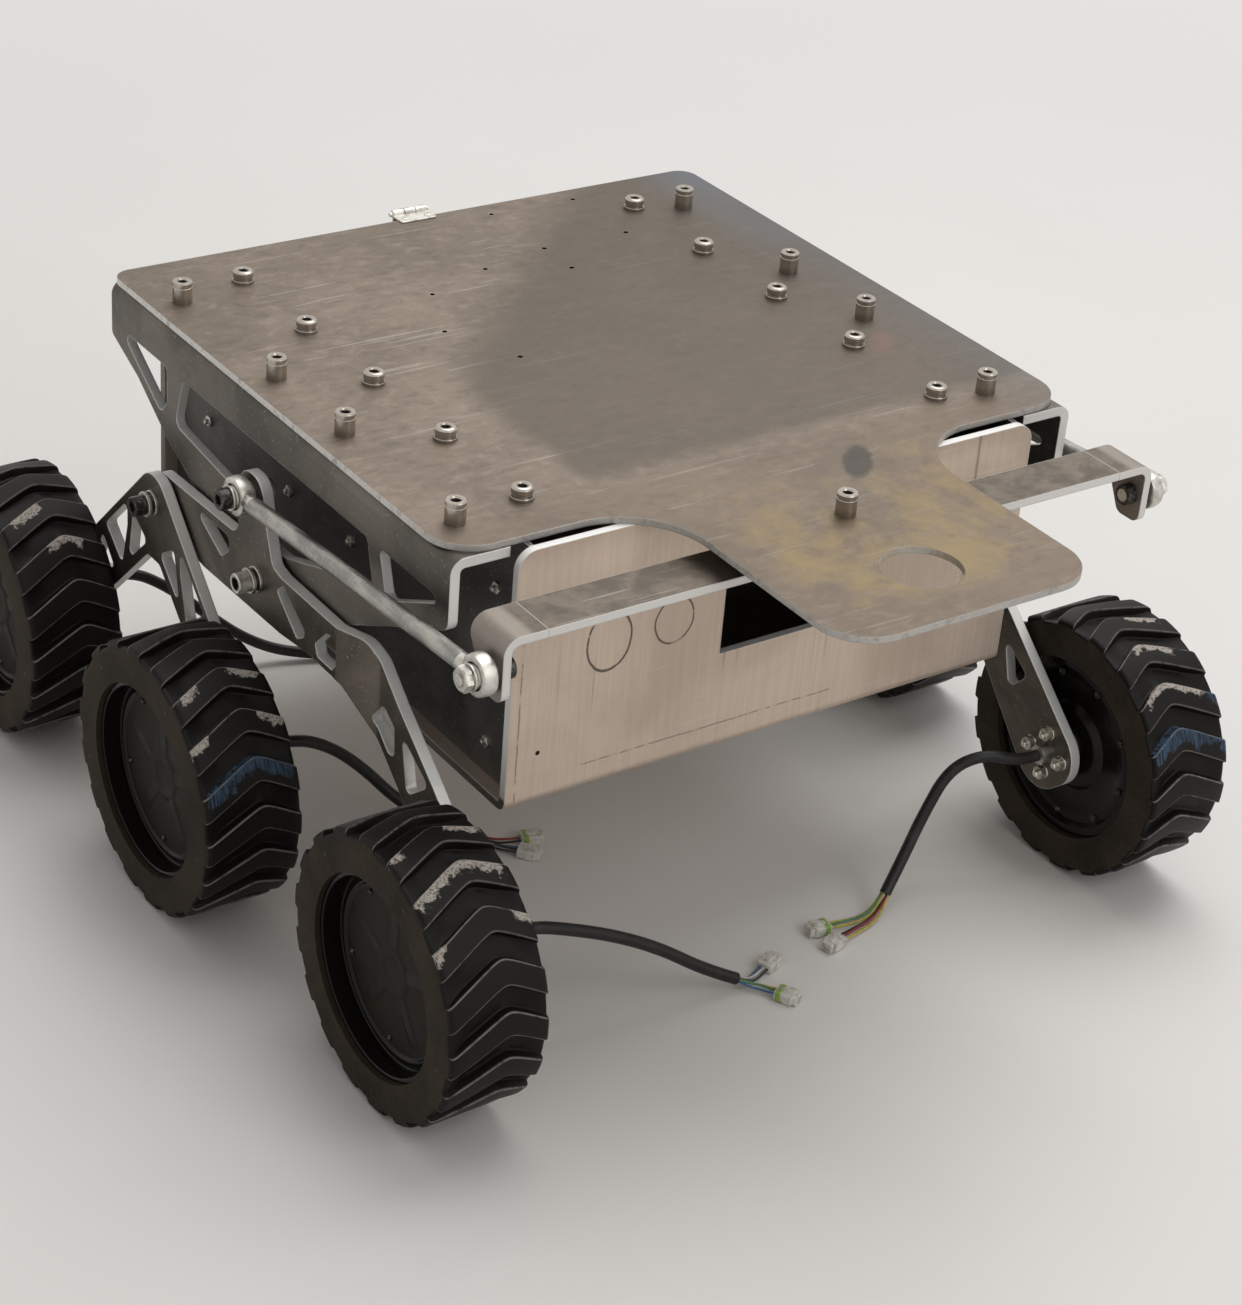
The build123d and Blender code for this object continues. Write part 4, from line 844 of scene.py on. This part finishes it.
white_smears = {
    # lug, place across the tyre where the smear starts and stops, width, in mm
    "front_left": [(10, 2, 20, 5), (10, 50, 61, 5), (11, 4, 61, 7), (12, -2, 11, 5), (12, 53, 64, 6)],
    "front_right": [(10, 34, 54, 5), (11, 18, 46, 5), (12, 6, 52, 3.5)],
    "middle_left": [(11, 5, 22, 6), (11, 42, 59, 6), (12, 1, 16, 6), (12, 48, 63, 5)],
    "middle_right": [(10, 40, 60, 5), (14, 2, 20, 6)],
    "rear_left": [(11, 30, 54, 7), (12, 14, 40, 6)],
    "rear_right": [(12, 4, 24, 6), (14, 36, 60, 6)],
}
blue_smears = {
    "front_right": [(12, 50, 63, 7), (13, 1, 62, 9.5)],
    "middle_left": [(13, 4, 60, 8)],
    "rear_right": [(15, 34, 62, 7)],
}
speckle = between(clouds(place, 700.0, 3.0), 0.38, 0.55, 0.45, 1.0)
scuffed = times(smeared("white_smear", 150.0, 0.72), speckle)
drags = between(clouds(stretched(place, (750.0, 60.0, 60.0)), 1.0, 3.0, 0.6), 0.36, 0.60, 0.12, 1.0)
chalk = times(smeared("blue_smear", 90.0, 0.6), drags)
base = blended(dusted(place, 0.36), (0.0066, 0.0053, 0.0045), (0.026, 0.0205, 0.016))
base = tinted(base, tops, 0.5, (0.0130, 0.0108, 0.0092))
# The lugs' edges are painted pale: partly rubbed wear, partly a painted highlight.
lug_edge_light_and_wear_mask = times(lug_edges_lit_and_worn, between(clouds(place, 200.0, 3.0), 0.25, 0.55, 0.25, 1.0))
base = tinted(base, lug_edge_light_and_wear_mask, 0.6, (0.29, 0.265, 0.235))
base = tinted(base, chalk, 0.85, (0.050, 0.088, 0.142))
base = tinted(base, scuffed, 0.92, (0.46, 0.415, 0.365))
feed(shader, colour=base, rough=between(scuffed, 0.0, 1.0, 0.48, 0.85), shine=0.14)
relief(shader, plus(clouds(place, 700.0, 3.0), scuffed), 0.2, 0.0004)

wall_rubber, shader, place = new_finish("side_wall_rubber", 0.0, 0.72)
feed(shader, colour=blended(dusted(place, 0.75), (0.021, 0.0165, 0.012), (0.060, 0.046, 0.031)), shine=0.12)
relief(shader, clouds(place, 1300.0, 2.0), 0.3, 0.0003)

arm_gap, wall_strips, pit_circle = 0.012, 5, 0.0722
pit_rows = [(0, 0), (0.04, 1.2), (0.07, 1.1), (0.05, 0)]
for name, side, arm_face, wheel_y in wheel_table:
    wheel_x = arm_face + arm_gap
    points, layers = lugged_tread(wheel_x, wheel_y, side, white_smears[name], blue_smears.get(name, []))
    faces = lattice(points, closed_around=True, closed_across=True, flipped=side < 0)
    columns = points.shape[1]
    column = np.tile(np.arange(columns), len(points))
    walls = (column < wall_strips) | (column > columns - wall_strips - 2)
    parts = [(points, faces, walls.astype(int))]
    # Small pits in the side walls: shallow discs painted near-black, painted shade for the holes.
    for turn_angle in (0.45, 1.75, 3.05, 4.4, 5.5):
        for x, out in ((0.0, -side), (tyre_width, side)):
            start = wheel_place(x, pit_circle, turn_angle, wheel_x, wheel_y, side)
            parts.append(turned(pit_rows, start, (out, 0, 0), 10, 2))
    tyre = surface_piece(f"lugged_tyre_{name}", parts, [tread_rubber, wall_rubber, recess_shade], 28.0, layers)
    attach(tyre, f"wheel_{name}")
    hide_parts(f"tyre_{name}")

# Hub motors: a black painted shell that turns on the axle.  Outside, a deep rim
# round a cover with a ridge, five low ribs and five screws; inside, nine screws.
hub_paint, shader, place = new_finish("hub_shell_black", 0.0, 0.32)
grime = clouds(place, 38.0, 6.0, 0.62)
covered = times(layer_of(shader, "dusty"), between(grime, 0.25, 0.62, 0.35, 1.0))
feed(shader, colour=blended(covered, (0.0058, 0.0048, 0.0042), (0.0175, 0.0128, 0.0088)), shine=0.18,
     rough=between(covered, 0.0, 1.0, 0.2, 0.62))
relief(shader, clouds(place, 420.0, 3.0), 0.12, 0.0002)

hub_inset, first_cover_row, cover_face, back_face = 0.004, 33, 0.0430, 0.0036
rib_start, rib_stop, rib_half, rib_height = 0.0150, 0.0435, 0.0050, 0.0009
side_slope, start_slope, stop_slope = 0.0014, 0.002, 0.003
hub_profile = [
    # mm out from the hub's inner end, radius; from the back of the bore round the rim to the cover's middle
    (30, 0), (30, 12.1), (0, 12.1), (0, 12.5), (0, 25), (0.6, 26.2), (4, 30), (4, 30.5), (4, 44.5),
    (3.6, 45.2), (3.6, 51.5), (0, 54), (0, 54.5), (0, 59.3), (0.6, 60), (10, 60), (45, 60), (54.3, 60),
    (55, 59.4), (55, 57.8), (54.4, 57.1), (53.5, 57), (50, 56.95), (46, 56.85), (43.6, 56.8), (43, 56.2),
    (43, 54.2), (43.4, 53.6), (44.3, 52.9), (44.5, 52), (44.3, 51.1), (43.4, 50.4), (43, 49.6), (43, 48),
    (43, 47), (43, 45), (43, 42), (43, 38), (43, 33), (43, 28), (43, 24), (43, 20), (43, 17.2), (43.2, 16),
    (43.8, 15), (44.1, 14), (44.1, 10), (43.8, 9), (43.4, 8.3), (43.4, 4), (43.4, 0),
]


def hub_shell(wheel_x, wheel_y, side):
    """Turned shell whose outer cover is raised along five ribs, each with straight sides and round ends."""
    rows = np.array(hub_profile) / 1000
    angle = np.linspace(0, 2 * pi, 240, endpoint=False)
    x, radius, angle = np.broadcast_arrays(rows[None, :, 0], rows[None, :, 1], angle[:, None])
    nearest = np.mod(angle + pi / 5, 2 * pi / 5) - pi / 5
    along, beside = radius * np.cos(nearest), np.abs(radius * np.sin(nearest))
    ribs = np.clip((rib_half - beside) / side_slope, 0, 1) * np.clip((along - rib_start) / start_slope, 0, 1)
    ribs = ribs * np.clip((rib_stop - along) / stop_slope, 0, 1)
    face = np.arange(radius.shape[1]) >= first_cover_row
    x = x + face * rib_height * ribs * ribs * (3 - 2 * ribs)
    dusty = np.where(face, 1.0 - 0.35 * ribs, 0.15)
    return wheel_place(x, radius, angle, wheel_x, wheel_y, side), dusty


def button_screws(places, x, facing, radius, wheel_x, wheel_y, side):
    """Low round screw heads with a dished middle, at (angle, radius) places on a face of the wheel."""
    ring = [(0, 0), (0, 1), (0.35, 1), (0.6, 0.85), (0.7, 0.55), (0.45, 0.42), (0.25, 0.2), (0.25, 0)]
    height, spread = radius * np.array(ring).T
    turn_angle = np.linspace(0, 2 * pi, 12, endpoint=False)[:, None]
    out_y, out_z = spread * np.cos(turn_angle), spread * np.sin(turn_angle)
    head = np.stack(np.broadcast_arrays(side * facing * height, out_y, out_z), -1)
    faces = lattice(head, closed_around=True, flipped=side * facing < 0)
    return [(wheel_place(x, out, angle, wheel_x, wheel_y, side) + head, faces, 0) for angle, out in places]


rim_places = [(radians(36 + 72 * k), 0.0452) for k in range(5)]
back_places = [(radians(20 + 40 * k), 0.0485) for k in range(9)]
for name, side, arm_face, wheel_y in wheel_table:
    place = (arm_face + arm_gap + hub_inset, wheel_y, side)
    points, dusty = hub_shell(*place)
    faces = lattice(points, closed_around=True, flipped=side < 0)
    hub = surface_piece(f"hub_motor_{name}", [(points, faces, 0)], [hub_paint], 40.0, [("dusty", dusty, 0.0)])
    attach(hub, f"wheel_{name}")
    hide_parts(f"hub_{name}")
    parts = button_screws(rim_places, cover_face, 1, 0.0019, *place)
    parts += button_screws(back_places, back_face, -1, 0.0024, *place)
    screws = surface_piece(f"hub_screws_{name}", parts, [black_steel])
    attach(screws, f"wheel_{name}")

# Motor leads: thin coloured wires that fan out of each cable's end into two
# white plugs, one for the motor's phases and one for its sensors.
wire_thickness = 0.0015
wire_colours = {
    "black": (0.015, 0.015, 0.016), "red": (0.30, 0.03, 0.025), "white": (0.62, 0.61, 0.57),
    "blue": (0.04, 0.13, 0.30), "green": (0.06, 0.22, 0.10), "yellow": (0.55, 0.44, 0.06),
}
wire_finishes = []
for colour, value in wire_colours.items():
    finish, shader, place = new_finish(f"{colour}_wire", 0.0, 0.42)
    soil = between(clouds(place, 300.0, 4.0), 0.42, 0.66, 0.0, 0.6)
    feed(shader, colour=blended(soil, value, tuple(0.45 * part + 0.02 for part in value)))
    relief(shader, clouds(place, 1500.0, 2.0), 0.1, 0.0001)
    wire_finishes.append(finish)

plug_nylon, shader, place = new_finish("white_nylon_plug", 0.0, 0.4)
soil = between(clouds(place, 240.0, 5.0), 0.42, 0.68)
feed(shader, colour=blended(soil, (0.70, 0.69, 0.63), (0.50, 0.47, 0.40)),
     rough=between(soil, 0.0, 1.0, 0.34, 0.6))
shader.inputs["Subsurface Weight"].default_value = 0.12
shader.inputs["Subsurface Radius"].default_value = (0.004, 0.003, 0.002)
plug_band, shader, place = new_finish("green_terminal_lock", 0.0, 0.4)
feed(shader, colour=blended(clouds(place, 400.0, 3.0), (0.20, 0.36, 0.05), (0.32, 0.50, 0.10)))


def plug_body(stations, start, heading, number=0):
    """Rounded block along a heading: rows of distance, half width and half height in mm carry a rounded
    rectangle, whose sides are a superellipse of the eighth power, and close at both ends."""
    rows = np.array(stations) / 1000
    heading = np.array((heading[0], heading[1], 0.0))
    heading = heading / np.linalg.norm(heading)
    across = np.array((-heading[1], heading[0], 0.0))
    angle = np.linspace(0, 2 * pi, 32, endpoint=False)[:, None] + pi / 32
    wide = squared(np.cos(angle), 0.25) * rows[:, 1]
    high = squared(np.sin(angle), 0.25) * rows[:, 2]
    points = np.array(start) + rows[:, :1] * heading + wide[..., None] * across
    points = points + high[..., None] * np.array(up)
    return points, lattice(points, closed_around=True), number


plug_stations = [(0, 0, 0), (0, 4.7, 2.7), (0.4, 5.1, 3.1), (5.6, 5.1, 3.1), (5.8, 5.5, 3.5),
                 (11.8, 5.5, 3.5), (12, 4.2, 3), (14.7, 4.2, 3), (15, 3.9, 2.7), (15, 3.2, 2),
                 (13.8, 3, 1.8), (13.8, 0, 0)]
latch_stations = [(3, 0, 0), (3, 1.4, 0.6), (3.4, 1.6, 0.9), (11.2, 1.6, 0.9), (11.6, 1.4, 0.4),
                  (11.6, 0, 0)]
band_stations = [(1.4, 0, 0), (1.4, 5.25, 3.25), (1.6, 5.35, 3.35), (4.4, 5.35, 3.35), (4.6, 5.25, 3.25),
                 (4.6, 0, 0)]
latch_rise = 0.0032
lead_table = [
    # cable; then for each plug its bundle's middle line in mm, the wires' colours, and if it has a green lock
    ("front_right",
     ([(92.4, -204.8, 12.9), (84.2, -208.1, 4.8), (73, -212, 2.6), (60, -214.5, 3.2), (47, -217.5, 3.8)],
      ("black", "red", "yellow"), False),
     ([(91, -201.2, 12.9), (82.8, -204.5, 4.8), (71, -205.5, 2.6), (60.5, -205, 3.3), (48, -203.5, 3.8)],
      ("yellow", "green", "yellow"), True)),
    ("front_left",
     ([(-38.7, -223.1, 9), (-30.6, -224.6, 4.3), (-22, -222.5, 2.8), (-13.5, -219, 3.8)],
      ("black", "white", "blue"), False),
     ([(-39.3, -226.9, 9), (-32, -228.4, 5), (-25, -233.6, 3.3), (-20.8, -241.5, 3.8)],
      ("blue", "green", "yellow"), True)),
    ("middle_left",
     ([(-89.4, -18.9, 4), (-84.5, -25.5, 3), (-77, -30, 3.2), (-68, -33, 3.8)],
      ("black", "red", "white"), True),
     ([(-92.6, -21.1, 4), (-87.7, -28.5, 3), (-82.5, -36.5, 3.2), (-76, -43.5, 3.8)],
      ("black", "black", "blue"), False)),
    ("rear_left",
     ([(-55.2, 218.7, 4), (-46.5, 215.8, 3), (-38, 212, 3.2), (-29, 208.5, 3.8)],
      ("black", "red", "yellow"), False),
     ([(-56.8, 215.3, 4), (-48.5, 210.5, 3), (-41.5, 204.5, 3.2), (-35.5, 197, 3.8)],
      ("blue", "green", "yellow"), True)),
]
for name, *bundles in lead_table:
    wires = round_curve(f"motor_leads_{name}", wire_thickness, wire_finishes[0])
    wires.data.resolution_u = 10
    wires.data.bevel_resolution = 3
    for finish in wire_finishes[1:]:
        wires.data.materials.append(finish)
    parts = []
    for middle_line, colours, locked in bundles:
        line = np.array(middle_line) / 1000
        heading = line[-1] - line[-2]
        aside = np.array((-heading[1], heading[0], 0.0)) / np.hypot(heading[0], heading[1])
        spread = np.concatenate([[0.0006], np.linspace(0.0019, 0.0023, len(line) - 2), [0.0026]])
        lift = np.concatenate([[0.0], np.full(len(line) - 2, 0.0009), [0.0]])
        for place_number, colour in enumerate(colours):
            side_step = (place_number - 1) * spread[:, None] * aside
            path = line + side_step + np.outer(lift if place_number == 1 else -0.5 * lift, up)
            route_spline(wires.data, path.tolist()).material_index = list(wire_colours).index(colour)
        parts.append(plug_body(plug_stations, line[-1], heading))
        parts.append(plug_body(latch_stations, line[-1] + (0.0, 0.0, latch_rise), heading))
        if locked:
            parts.append(plug_body(band_stations, line[-1], heading, 1))
    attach(wires, "chassis")
    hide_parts(f"leads_{name}")
    plugs = surface_piece(f"motor_plugs_{name}", parts, [plug_nylon, plug_band], 50.0)
    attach(plugs, "chassis")
    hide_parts(f"plugs_{name}")
    real_length, points = cable_routes[name]

# The floor is one pale matt sheet, and the light is soft: a wide lamp high
# on the right, a weaker one in front, and an even pale surround.
floor_mesh = bpy.data.meshes.new("floor")
floor_mesh.from_pydata([(-30, -30, 0), (30, -30, 0), (30, 30, 0), (-30, 30, 0)], [], [(0, 1, 2, 3)])
floor = bpy.data.objects.new("floor", floor_mesh)
bpy.context.scene.collection.objects.link(floor)
backdrop_colour = (0.80, 0.785, 0.765)


def backdrop_ray(tree):
    """One for a ray from the eye, from metal or through glass, so that all of them meet the pale backdrop."""
    ray = add_node("ShaderNodeLightPath", tree=tree)
    mirrored = maths("MAXIMUM", ray.outputs["Is Glossy Ray"], ray.outputs["Is Transmission Ray"])
    return maths("MAXIMUM", ray.outputs["Is Camera Ray"], mirrored)


floor_finish, shader, place = new_finish("pale_floor", 0.0, 0.8)
feed(shader, colour=blended(clouds(place, 3.0, 3.0), (0.74, 0.72, 0.69), (0.79, 0.77, 0.74)))
away = add_node("ShaderNodeVectorMath", {0: place}, operation="LENGTH").outputs["Value"]
tree = shader.id_data
seen = times(between(away, 0.65, 2.4), backdrop_ray(tree))
backdrop = add_node("ShaderNodeEmission", {"Color": (*backdrop_colour, 1.0), "Strength": 1.0}, tree)
studio = add_node("ShaderNodeMixShader", {0: seen, 1: shader.outputs[0], 2: backdrop.outputs[0]})
tree.links.new(studio.outputs[0], tree.nodes["Material Output"].inputs["Surface"])
floor_mesh.materials.append(floor_finish)

surround = bpy.data.worlds.new("surround")
surround.use_nodes = True
bpy.context.scene.world = surround
tree = surround.node_tree
sky = tree.nodes["Background"]
sky.inputs["Color"].default_value = (0.80, 0.80, 0.80, 1.0)
sky.inputs["Strength"].default_value = 0.55
wall = add_node("ShaderNodeBackground", {"Color": (*backdrop_colour, 1.0), "Strength": 1.0}, tree)
room = add_node("ShaderNodeMixShader", {0: backdrop_ray(tree), 1: sky.outputs[0], 2: wall.outputs[0]})
tree.links.new(room.outputs[0], tree.nodes["World Output"].inputs["Surface"])

lamp_table = [
    # name, place, width, watts
    ("overhead", (0.9, 0.4, 2.6), 2.2, 46.0),
    ("front", (0.6, -2.4, 1.9), 1.6, 14.0),
]
for name, place, width, watts in lamp_table:
    lamp = bpy.data.objects.new(name, bpy.data.lights.new(name, "AREA"))
    lamp.data.shape = "SQUARE"
    lamp.data.size = width
    lamp.data.energy = watts
    lamp.location = place
    lamp.rotation_mode = "QUATERNION"
    lamp.rotation_quaternion = (Vector((0, 0, 0.15)) - Vector(place)).to_track_quat("-Z", "Y")
    bpy.context.scene.collection.objects.link(lamp)
bpy.context.scene.view_settings.view_transform = "Standard"
